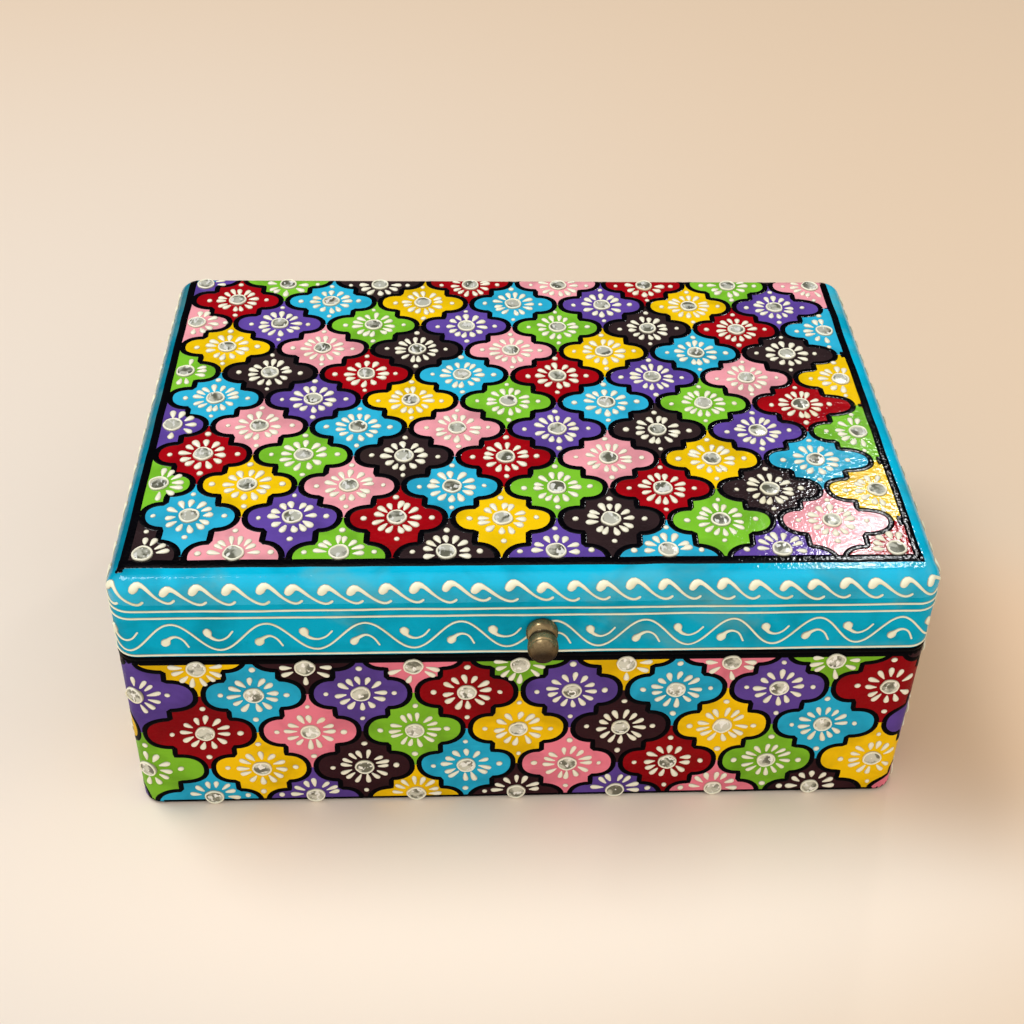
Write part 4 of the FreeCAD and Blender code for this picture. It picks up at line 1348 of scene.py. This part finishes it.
class KEEPSAKE_OT_tiles(bpy.types.Operator):
    """Lay the coloured tiles on the lid's panel and round the base"""

    bl_idname = "keepsake.tiles"
    bl_label = "Tiles"

    def execute(self, context):
        tiles = context.scene.keepsake_tiles
        outside = Outside(context.scene.keepsake_form)
        paint = context.scene.keepsake_paint
        half = tiles.border_width / 2
        panel = PanelLayout(tiles, outside)
        bends = [((0, panel.flat_back + BACK_BEND_STEP * k, 0), (0, 1, 0)) for k in range(BACK_BENDS)]
        tile_piece("panel_tiles", "lid", panel, panel.lattice(), (panel.left - half, panel.front - half),
                   (panel.right + half, panel.back + half), bends, tile_enamels(paint, "panel"), tiles.film)
        walls = WallLayout(tiles, outside)
        for wall in WALLS:
            low, high = walls.limits(wall)
            bends = []
            for k in range(CORNER_BENDS):
                turned = outside.arc / 2 * (k + 1) / CORNER_BENDS
                bends.append(((low[0] + turned, 0, 0), (1, 0, 0)))
                bends.append(((high[0] - turned, 0, 0), (1, 0, 0)))
            bends.append(((0, outside.bottom_round, 0), (0, 1, 0)))
            tile_piece(wall + "_tiles", "base", walls, walls.lattice(wall), low, high, bends,
                       tile_enamels(paint, "wall"), tiles.film)
        return {"FINISHED"}


MARK_STEP = 3 * MM
# How far the seam's band reaches below the lid, how far its line strays, and how quickly
SEAM_SINK = 0.1 * MM
SEAM_STRAY = 0.08 * MM
SEAM_GRAIN = 150


def round_marks(reach):
    """Even distances round the box, to both sides of the middle of its front."""
    count = int(2 * reach / MARK_STEP)
    return [-reach + 2 * reach * k / count for k in range(count + 1)]


class KEEPSAKE_OT_outlines(bpy.types.Operator):
    """Draw the raised black outlines of the tiles, the panel's border and the band at the seam"""

    bl_idname = "keepsake.outlines"
    bl_label = "Outlines"

    def execute(self, context):
        tiles = context.scene.keepsake_tiles
        scrolls = context.scene.keepsake_scrolls
        outside = Outside(context.scene.keepsake_form)
        paint = context.scene.keepsake_paint
        panel = PanelLayout(tiles, outside)
        black = outline_enamel(paint, "panel")
        build = PaintBuild()
        half = tiles.panel_line / 2
        crown = tiles.line_rise / half
        low, high = (panel.left, panel.front), (panel.right, panel.back)
        for run in outline_strokes(panel, panel.lattice(), low, high):
            bead(build, outside.panel, run, lambda t: half, crown, round_ends=False)
        build.piece("panel_outlines", "lid", "outline_paint", black)
        self.border(panel, tiles, outside, black)
        walls = WallLayout(tiles, outside)
        black = outline_enamel(paint, "wall")
        for wall in WALLS:
            low, high = walls.limits(wall)
            build = PaintBuild()
            half = tiles.wall_line / 2
            crown = tiles.line_rise / half
            for run in outline_strokes(walls, walls.lattice(wall), low, high):
                bead(build, outside.base_side, run, lambda t: half, crown, round_ends=False)
            short = {"left": (BEVEL_STOP, 0), "right": (0, BEVEL_STOP)}.get(wall, (0, 0))
            head = [(low[0] + short[0], high[1]), (high[0] - short[1], high[1])]
            foot = [(low[0], low[1]), (high[0], low[1])]
            for line in (head, foot):
                bead(build, outside.base_side, line, lambda t: half, crown, step=2 * MM, round_ends=False)
            build.piece(wall + "_outlines", "base", "outline_paint", black)
        self.seam(scrolls, outside, black)
        return {"FINISHED"}

    def border(self, panel, tiles, outside, black):
        """The black border round the panel; its line strays a little, and one corner is smeared."""
        build = PaintBuild()
        half = tiles.border_width / 2
        front_half = tiles.front_border / 2
        outer = panel.front - tiles.border_width
        left, right = panel.left - half, panel.right + half
        front, back = outer + front_half, panel.back + half
        corners = ((left, front), (right, front), (right, back), (left, back))
        for number, (a, b) in enumerate(zip(corners, corners[1:] + corners[:1])):
            wide = front_half if number == 0 else half
            way = (Vector(b) - Vector(a)).normalized()
            ends = (Vector(a) - way * half, Vector(b) + way * half)
            line = []
            steps = int((ends[1] - ends[0]).length / (4 * MM))
            for k in range(steps + 1):
                spot = ends[0].lerp(ends[1], k / steps)
                shift = stray((spot.x, spot.y, 0), 0.25 * MM, 9 * MM, STRAY_SEEDS["border"])
                line.append((spot.x + shift[0], spot.y + shift[1]))
            bead(build, outside.panel, line, lambda t: wide, tiles.line_rise / wide, step=1.5 * MM,
                 round_ends=False)
        for reach, drop, wide in CORNER_SMEAR:
            dot(build, outside.panel, left - reach * MM, front - drop * MM, wide * MM, tiles.line_rise, 0.4)
        build.piece("panel_border", "lid", "outline_paint", black)

    def seam(self, scrolls, outside, black):
        """The black band along the lid's lower edge, up to the bevel at the back."""
        build = PaintBuild()
        half = scrolls.seam_band / 2
        reach = outside.run_x / 2 + outside.arc + outside.run_y + outside.arc / 3
        line = []
        for along in round_marks(reach):
            shift = SEAM_STRAY * noise.noise(Vector((along * SEAM_GRAIN, 0, 5)))
            line.append((along, half - SEAM_SINK + shift))
        bead(build, outside.lid_side, line, lambda t: half, 0.3, step=1.5 * MM, round_ends=False)
        build.piece("lid_seam_band", "lid", "outline_paint", black)


class KEEPSAKE_OT_flowers(bpy.types.Operator):
    """Raise the petals, dots and rings of the flowers"""

    bl_idname = "keepsake.flowers"
    bl_label = "Flowers"

    def execute(self, context):
        tiles = context.scene.keepsake_tiles
        flowers = context.scene.keepsake_flowers
        outside = Outside(context.scene.keepsake_form)
        cream = raised_cream(context.scene.keepsake_paint)
        panel = PanelLayout(tiles, outside)
        walls = WallLayout(tiles, outside)
        beds = [("panel", "lid", panel_spots(), panel, panel.lattice(), (panel.left, panel.front),
                 (panel.right, panel.back))]
        beds += [(wall, "base", wall_spots(outside, wall), walls, walls.lattice(wall), *walls.limits(wall))
                 for wall in WALLS]
        draw = random.Random(SEEDS["petals"])
        for bed, body, spots, layout, lattice, low, high in beds:
            kind = "panel" if bed == "panel" else "wall"
            build = PaintBuild()
            for spot in spots:
                outline = own_tile(layout, lattice, spot)
                petal_strokes(build, layout, spot, outline, flowers, kind, low, high, draw)
                lathe(build, spot, ring_profile(flowers, kind), RING_SPOKES, True, flowers.ring_wobble,
                      draw.uniform(0, 50), flowers.ring_foot)
            build.piece(bed + "_flowers", body, "raised_paint", cream, RAISED_SHARP)
        return {"FINISHED"}


class KEEPSAKE_OT_mirrors(bpy.types.Operator):
    """Set the crowned mirror chips in their rings"""

    bl_idname = "keepsake.mirrors"
    bl_label = "Mirrors"

    def execute(self, context):
        flowers = context.scene.keepsake_flowers
        outside = Outside(context.scene.keepsake_form)
        silver = mirror_silver(context.scene.keepsake_paint)
        draw = random.Random(SEEDS["mirrors"])
        beds = [("top", "lid", panel_spots())]
        beds += [(wall, "base", wall_spots(outside, wall)) for wall in WALLS]
        for bed, body, spots in beds:
            kind = "panel" if bed == "top" else "wall"
            build = PaintBuild()
            for spot in spots:
                lathe(build, spot.tilted(draw), glass_profile(flowers, kind), RING_SPOKES, False)
            piece = build.piece(bed + "_mirror_chips", body, "mirror_glass", silver, TURNED_SHARP)
            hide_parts(bed + "_mirrors")
        return {"FINISHED"}


# A scroll about the middle of its blob: along the shoulder, and above the scrolls' lowest point
SCROLL = ((-0.2, 3.7), (0.2, 4.8), (1.1, 5.9), (2.2, 6.2), (3.4, 5.7), (4.8, 4.6), (6.4, 3.1), (8.0, 1.6),
          (9.6, 0.5), (11.1, 0.1), (12.3, 0.6), (13.0, 1.4))
# Leaves of the vine: from a trough upwards, and from a crest downwards
UPPER_LEAF = ((-3.9, 9.1), (-3.7, 7.4), (-2.6, 5.3), (-0.1, 4.2), (2.5, 5.3), (4.5, 7.9))
LOWER_LEAF = ((-3.2, -9.3), (-2.6, -7.7), (-1.0, -5.9), (0.9, -5.3), (3.0, -6.7), (4.7, -10.0))
# Middle and length of the stretch of the front where the vine is drawn out, and points in one wave of it
VINE_SPREAD_MIDDLE = 20 * MM
VINE_SPREAD_REACH = 230 * MM
VINE_STEPS = 24
# How uneven the widths of the lines and of the vine are, and how quickly they change along them
LINE_UNEVENNESS = 0.16
LINE_GRAIN = 190
VINE_UNEVENNESS = 0.15
VINE_GRAIN = 160


def blob_width(blob, neck, tail, end):
    """Half-widths of a stroke that starts as a fat blob and thins to a tail."""
    stops = ((0.0, blob), (0.14, blob), (0.3, neck), (0.6, tail), (0.9, end), (1.0, end))

    def half_width(part):
        for (a, wide_a), (b, wide_b) in zip(stops, stops[1:]):
            if part <= b:
                mix = eased((part - a) / (b - a))
                return (wide_a + (wide_b - wide_a) * mix) / 2 * MM
        return end / 2 * MM

    return half_width


class KEEPSAKE_OT_scrolls(bpy.types.Operator):
    """Raise the lines, the scrolls and the vine on the lid's sides"""

    bl_idname = "keepsake.scrolls"
    bl_label = "Scrolls"

    def execute(self, context):
        scrolls = context.scene.keepsake_scrolls
        outside = Outside(context.scene.keepsake_form)
        cream = lid_cream(context.scene.keepsake_paint)
        self.lines(scrolls, outside, cream)
        self.shoulder(scrolls, outside, cream)
        self.vine(scrolls, outside, cream)
        return {"FINISHED"}

    def lines(self, scrolls, outside, cream):
        """Two lines all round, and one above the seam that stops at the bevel at the back."""
        build = PaintBuild()
        half = scrolls.line_width / 2
        bevel_stop = outside.run_x / 2 + outside.arc + outside.run_y + outside.arc / 2
        for number, rise in enumerate((scrolls.top_line, scrolls.second_line, scrolls.foot_line)):
            reach = bevel_stop if number == 2 else outside.around / 2
            line = []
            for along in round_marks(reach):
                place, _ = outside.rim(along)
                _, shift = stray((place.x, place.y, 0), 0.28 * MM, 22 * MM, STRAY_SEEDS["lines"] + number)
                line.append((along, rise + shift))

            def wide(part):
                return half * (1 + LINE_UNEVENNESS * noise.noise(Vector((part * LINE_GRAIN, 3 * number, 9))))

            bead(build, outside.lid_side, line, wide, 0.95, step=1.3 * MM)
        build.piece("lid_lines", "lid", "raised_paint", cream, RAISED_SHARP)

    def shoulder(self, scrolls, outside, cream):
        build = PaintBuild()
        draw = random.Random(SEEDS["scrolls"])
        pitch = outside.around / scrolls.scrolls
        for number in range(scrolls.scrolls):
            start = scrolls.scroll_start + pitch * number + draw.uniform(-0.7, 0.7) * MM
            past = (abs(outside.from_front(start)) - outside.run_x / 2 - outside.arc) / (10 * MM)
            drop = scrolls.side_drop * clamp(past)
            foot = scrolls.scroll_foot - drop + draw.uniform(-0.4, 0.4) * MM
            tall = draw.uniform(0.9, 1.07)
            wide = draw.uniform(0.92, 1.06)
            points = [(start + x * wide * MM, foot + y * tall * MM) for x, y in SCROLL]
            widths = blob_width(2.85 * draw.uniform(0.88, 1.1), 1.25, 0.9 * draw.uniform(0.85, 1.2), 1.0)
            bead(build, outside.lid_side, smooth_path(points), widths, 0.62, step=0.7 * MM, top=0.6 * MM)
        build.piece("lid_scrolls", "lid", "raised_paint", cream, RAISED_SHARP)

    def vine(self, scrolls, outside, cream):
        build = PaintBuild()
        draw = random.Random(SEEDS["vine"])
        wave = outside.around / scrolls.vines
        middle = (scrolls.vine_crest + scrolls.vine_trough) / 2
        swing = (scrolls.vine_crest - scrolls.vine_trough) / 2

        def drawn(along, rise):
            """Even waves to the hand-drawn ones, which are drawn out in the middle of the front."""
            spread = 0
            if abs(along) < HALF_LENGTH:
                spread = max(math.cos(math.pi * (along - VINE_SPREAD_MIDDLE) / VINE_SPREAD_REACH), 0)
            place, _ = outside.rim(along)
            shift = stray((place.x, place.y, 0), 0.5 * MM, 30 * MM, STRAY_SEEDS["vine"])
            return along + scrolls.vine_drift * spread + shift[0], rise + shift[1]

        steps = VINE_STEPS * scrolls.vines
        start = scrolls.vine_start - wave
        line = []
        for k in range(steps + 1):
            along = start + outside.around * k / steps
            turn = 2 * math.pi * (along - scrolls.vine_start) / wave
            line.append(drawn(along, middle + swing * math.cos(turn)))
        half = scrolls.vine_width / 2

        def wide(part):
            return half * (1 + VINE_UNEVENNESS * noise.noise(Vector((part * VINE_GRAIN, 2, 4))))

        bead(build, outside.lid_side, line, wide, 0.95, step=1.0 * MM)
        leaves = ((LOWER_LEAF, 0.0, scrolls.vine_crest), (UPPER_LEAF, 0.5, scrolls.vine_trough))
        for number in range(scrolls.vines):
            for leaf, offset, level in leaves:
                along = scrolls.vine_start + wave * (number - 1 + offset) + draw.uniform(-0.6, 0.6) * MM
                size = draw.uniform(0.9, 1.06)
                points = []
                for x, y in leaf:
                    points.append(drawn(along + x * size * MM, level + y * draw.uniform(0.98, 1.02) * MM))
                widths = blob_width(3.1 * draw.uniform(0.88, 1.1), 1.25, 0.72, 0.68)
                bead(build, outside.lid_side, smooth_path(points), widths, 0.65, step=0.7 * MM, top=0.65 * MM)
        build.piece("lid_vine", "lid", "raised_paint", cream, RAISED_SHARP)


KNOB_SPOKES = 64
# Turned shape of the knob: share of its length, radius in millimetres
KNOB_PROFILE = (
    (0.0, 4.2), (0.019, 4.6), (0.07, 4.88), (0.14, 4.95), (0.216, 4.85), (0.263, 4.5), (0.29, 4.15),
    (0.305, 3.85), (0.32, 3.75), (0.34, 3.85), (0.351, 4.1), (0.367, 4.25), (0.386, 4.3), (0.398, 4.2),
    (0.41, 4.25), (0.463, 4.5), (0.54, 4.7), (0.618, 4.75), (0.68, 4.72), (0.687, 4.63), (0.695, 4.67),
    (0.741, 4.5), (0.803, 4.15), (0.865, 3.55), (0.871, 3.41), (0.877, 3.43), (0.927, 2.6), (0.931, 2.44),
    (0.936, 2.43), (0.965, 1.7), (0.985, 1.05), (0.99, 0.62), (0.989, 0.45), (0.997, 0.32), (0.999, 0.02),
)
# Where the knob is dark, as shares of its length: tarnish in the neck and at the foot, and painted shade from
# here to its end
KNOB_NECK = 0.4
KNOB_NECK_SPREAD = 0.1
KNOB_FOOT_SPREAD = 0.06
KNOB_END_START = 0.62


class KEEPSAKE_OT_knob(bpy.types.Operator):
    """Turn the brass knob with its grooves"""

    bl_idname = "keepsake.knob"
    bl_label = "Knob"

    def execute(self, context):
        low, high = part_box("knob")
        long = high.y - low.y
        spot = Spot(0, 0, Vector(((low.x + high.x) / 2, high.y, (low.z + high.z) / 2)),
                    Vector((0, -1, 0)), Vector((1, 0, 0)), Vector((0, 0, 1)))
        build = PaintBuild()
        lathe(build, spot, [(radius * MM, part * long) for part, radius in KNOB_PROFILE], KNOB_SPOKES, False)
        brass = knob_metal(context.scene.keepsake_paint)
        piece = build.piece("brass_knob", "lid", "knob_brass", brass, TURNED_SHARP)
        half = (high.z - low.z) / 2
        patina = piece.data.attributes.new("patina", "FLOAT", "POINT")
        for mark, vert in zip(patina.data, piece.data.vertices):
            down = (spot.place.z - vert.co.z) / half
            part = (high.y - vert.co.y) / long
            neck = 0.95 * math.exp(-((part - KNOB_NECK) / KNOB_NECK_SPREAD) ** 2)
            foot = math.exp(-(part / KNOB_FOOT_SPREAD) ** 2)
            # Painted shade: darker towards the knob's end and on its lower half
            lower_end_shade = 0.3 + 2.4 * (part - KNOB_END_START) + 0.45 * down
            mark.value = min(max(lower_end_shade, 0) + (neck + foot), 1)
        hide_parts("knob")
        return {"FINISHED"}


LININGS = (
    ("floor_lining", "base", "laid", ["base_floor"]),
    ("front_wall_lining", "base", "stretched", ["base_front_wall"]),
    ("back_wall_lining", "base", "stretched", ["base_back_wall"]),
    ("left_wall_lining", "base", "stretched", ["base_left_wall"]),
    ("right_wall_lining", "base", "stretched", ["base_right_wall"]),
    ("lid_lining", "lid", "stretched", ["lid_top_board"]),
)
# Cuts along each side of the felt, how it thins at its edges, and how its thickness varies
FELT_CUTS = 28
FELT_EDGE_THINNING = 0.35
FELT_EDGE_STEEPNESS = 60
FELT_FULLNESS = 0.86
FELT_UNEVENNESS = 0.12
FELT_GRAIN = 55


class KEEPSAKE_OT_felt(bpy.types.Operator):
    """Lay the felt lining, a little uneven, in the place of its CAD boards"""

    bl_idname = "keepsake.felt"
    bl_label = "Felt"

    def execute(self, context):
        material = red_felt(context.scene.keepsake_paint)
        for node, body, held, carriers in LININGS:
            low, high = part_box(node)
            span = high - low
            thin = min(range(3), key=lambda k: span[k])
            build = bmesh.new()
            bmesh.ops.create_cube(build, size=1)
            wide = [e for e in build.edges if abs((e.verts[0].co - e.verts[1].co)[thin]) < 0.5]
            bmesh.ops.subdivide_edges(build, edges=wide, cuts=FELT_CUTS, use_grid_fill=True)
            for vert in build.verts:
                spot = Vector([low[k] + span[k] * (vert.co[k] + 0.5) for k in range(3)])
                edge = min(0.5 - abs(vert.co[k]) for k in range(3) if k != thin)
                pull = 1 - FELT_EDGE_THINNING * math.exp(-edge * FELT_EDGE_STEEPNESS)
                full = FELT_FULLNESS + FELT_UNEVENNESS * noise.noise(spot * FELT_GRAIN)
                spot[thin] = (low[thin] + high[thin]) / 2 + span[thin] * (vert.co[thin] * pull * full)
                vert.co = spot
            mesh = bpy.data.meshes.new(node + "_felt")
            build.to_mesh(mesh)
            build.free()
            piece = finish_piece(mesh, node + "_felt", body, [material], FELT_SHARP)
            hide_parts(node)
            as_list(carriers)
        return {"FINISHED"}


FLOOR_REACH = 3.0
# Where the floor's tints change over, from front to back and from left to right; the tints are painted
# falloff of light, darker and warmer behind and warmer on the right
FLOOR_DEPTH = (-0.15, 0.9)
FLOOR_BREADTH = (-0.25, 0.3)
# Pools on the floor, painted light before the box and painted shade beside it on the right: middle, scale,
# and the distances at which a pool is full and gone
FLOOR_POOLS = {
    "floor_front_painted_light": ((0, -0.115, 0), (0.3, 1, 1), 0.02, 0.085),
    "floor_beside_painted_shade": ((0.175, -0.035, 0), (1, 1, 1), 0.03, 0.1),
}
# Towards the bright side of the room, and over which range the room turns from dim to bright
SKY_WAY = (-0.08, -0.65, 0.75)
SKY_RANGE = (0.0, 0.55)
# Lamps: place, target, width, height and tint
KEY_LAMP = ((-1.0, 0.45, 2.2), (0, 0, 0.05), 1.0, 0.8, (0.95, 0.98, 1.0))
GLEAM_LAMP = ((0.45, 0.86, 0.98), (0.08, -0.05, 0.1), 0.09, 0.07, (1, 1, 1))


def area_lamp(name, power, place, target, wide, tall, tint):
    lamp = bpy.data.lights.new(name, "AREA")
    lamp.shape = "RECTANGLE"
    lamp.size, lamp.size_y = wide, tall
    lamp.energy = power
    lamp.color = tint
    holder = bpy.data.objects.new(name, lamp)
    holder.location = place
    holder.rotation_euler = (Vector(target) - Vector(place)).to_track_quat("-Z", "Y").to_euler()
    bpy.context.scene.collection.objects.link(holder)


class KEEPSAKE_OT_studio(bpy.types.Operator):
    """Set the floor, the soft lights and the camera"""

    bl_idname = "keepsake.studio"
    bl_label = "Studio"

    def execute(self, context):
        studio = context.scene.keepsake_studio
        context.scene.view_settings.view_transform = "Standard"
        self.floor(studio)
        self.lights(context, studio)
        self.camera(context, studio)
        return {"FINISHED"}

    def floor(self, studio):
        reach = FLOOR_REACH
        mesh = bpy.data.meshes.new("floor")
        mesh.from_pydata([(-reach, -reach, 0), (reach, -reach, 0), (reach, reach, 0), (-reach, reach, 0)], [],
                         [(0, 1, 2, 3)])
        floor = bpy.data.objects.new("floor", mesh)
        bpy.context.scene.collection.objects.link(floor)
        material = bpy.data.materials.new("pale_floor")
        material.use_nodes = True
        tree = material.node_tree
        surface = tree.nodes["Principled BSDF"]
        surface.inputs["Roughness"].default_value = 0.9
        place = put(tree, "ShaderNodeTexCoord").outputs["Object"]
        apart = put(tree, "ShaderNodeSeparateXYZ")
        tree.links.new(place, apart.inputs[0])
        # Painted falloff of light: darker and warmer behind and to the right
        far = ranged(tree, apart.outputs["Y"], *FLOOR_DEPTH)
        side = ranged(tree, apart.outputs["X"], *FLOOR_BREADTH)
        near = mixed(tree, side, studio.floor_left, studio.floor_right)
        # Pools of painted light and painted shade on the floor
        for name, (middle, scale, full, gone) in FLOOR_POOLS.items():
            away = put(tree, "ShaderNodeVectorMath", operation="DISTANCE")
            tree.links.new(stretched(tree, place, scale), away.inputs[0])
            away.inputs[1].default_value = middle
            pool = ranged(tree, away.outputs["Value"], full, gone, 1.0, 0.0)
            near = mixed(tree, pool, near, getattr(studio, name))
        tree.links.new(mixed(tree, far, near, studio.floor_far), surface.inputs["Base Color"])
        mesh.materials.append(material)

    def lights(self, context, studio):
        world = bpy.data.worlds.new("room")
        world.use_nodes = True
        tree = world.node_tree
        light = tree.nodes["Background"]
        facing = put(tree, "ShaderNodeVectorMath", operation="DOT_PRODUCT")
        tree.links.new(put(tree, "ShaderNodeTexCoord").outputs["Generated"], facing.inputs[0])
        facing.inputs[1].default_value = SKY_WAY
        bright = ranged(tree, facing.outputs["Value"], *SKY_RANGE)
        room = mixed(tree, bright, studio.far_room, studio.sky)
        seen = put(tree, "ShaderNodeLightPath").outputs["Is Camera Ray"]
        tree.links.new(mixed(tree, seen, room, studio.backdrop), light.inputs["Color"])
        light.inputs["Strength"].default_value = studio.sky_strength
        context.scene.world = world
        area_lamp("key_lamp", studio.key_power, *KEY_LAMP)
        area_lamp("gleam_lamp", studio.gleam_power, *GLEAM_LAMP)

    def camera(self, context, studio):
        lens = bpy.data.cameras.new("camera")
        lens.sensor_width = 36
        lens.lens = studio.lens
        lens.shift_x = studio.shift_x
        lens.shift_y = studio.shift_y
        lens.clip_start, lens.clip_end = 0.01, 20
        up = Vector((0, 0, 1))
        ahead = Vector((math.sin(studio.yaw), math.cos(studio.yaw), 0))
        right = Vector((math.cos(studio.yaw), -math.sin(studio.yaw), 0))
        look = ahead * math.cos(studio.pitch) - up * math.sin(studio.pitch)
        over = up * math.cos(studio.pitch) + ahead * math.sin(studio.pitch)
        across = right * math.cos(studio.roll) + over * math.sin(studio.roll)
        above = over * math.cos(studio.roll) - right * math.sin(studio.roll)
        turn = Matrix((across, above, -look)).transposed().to_4x4()
        camera = bpy.data.objects.new("camera", lens)
        camera.matrix_world = Matrix.Translation(Vector(studio.camera_place)) @ turn
        context.scene.collection.objects.link(camera)
        context.scene.camera = camera


OPERATORS = (KEEPSAKE_OT_boards, KEEPSAKE_OT_hardware, KEEPSAKE_OT_tiles, KEEPSAKE_OT_outlines,
             KEEPSAKE_OT_flowers, KEEPSAKE_OT_mirrors, KEEPSAKE_OT_scrolls, KEEPSAKE_OT_knob,
             KEEPSAKE_OT_felt, KEEPSAKE_OT_studio)
SETTINGS = {"keepsake_form": KeepsakeForm, "keepsake_tiles": KeepsakeTiles,
            "keepsake_flowers": KeepsakeFlowers, "keepsake_scrolls": KeepsakeScrolls,
            "keepsake_paint": KeepsakePaint, "keepsake_studio": KeepsakeStudio}


class KEEPSAKE_PT_box(bpy.types.Panel):
    """Lists the steps that dress the box"""

    bl_idname = "KEEPSAKE_PT_box"
    bl_label = "Keepsake Box"
    bl_space_type = "VIEW_3D"
    bl_region_type = "UI"
    bl_category = "Keepsake Box"

    def draw(self, context):
        for operator in OPERATORS:
            self.layout.operator(operator.bl_idname)


def register():
    for group in SETTINGS.values():
        bpy.utils.register_class(group)
    for name, group in SETTINGS.items():
        setattr(bpy.types.Scene, name, PointerProperty(type=group))
    for operator in OPERATORS:
        bpy.utils.register_class(operator)
    bpy.utils.register_class(KEEPSAKE_PT_box)


def unregister():
    bpy.utils.unregister_class(KEEPSAKE_PT_box)
    for operator in reversed(OPERATORS):
        bpy.utils.unregister_class(operator)
    for name, group in reversed(SETTINGS.items()):
        delattr(bpy.types.Scene, name)
        bpy.utils.unregister_class(group)


def main():
    register()
    bpy.ops.keepsake.boards()
    bpy.ops.keepsake.hardware()
    bpy.ops.keepsake.tiles()
    bpy.ops.keepsake.outlines()
    bpy.ops.keepsake.flowers()
    bpy.ops.keepsake.mirrors()
    bpy.ops.keepsake.scrolls()
    bpy.ops.keepsake.knob()
    bpy.ops.keepsake.felt()
    bpy.ops.keepsake.studio()


if __name__ == "__main__":
    main()
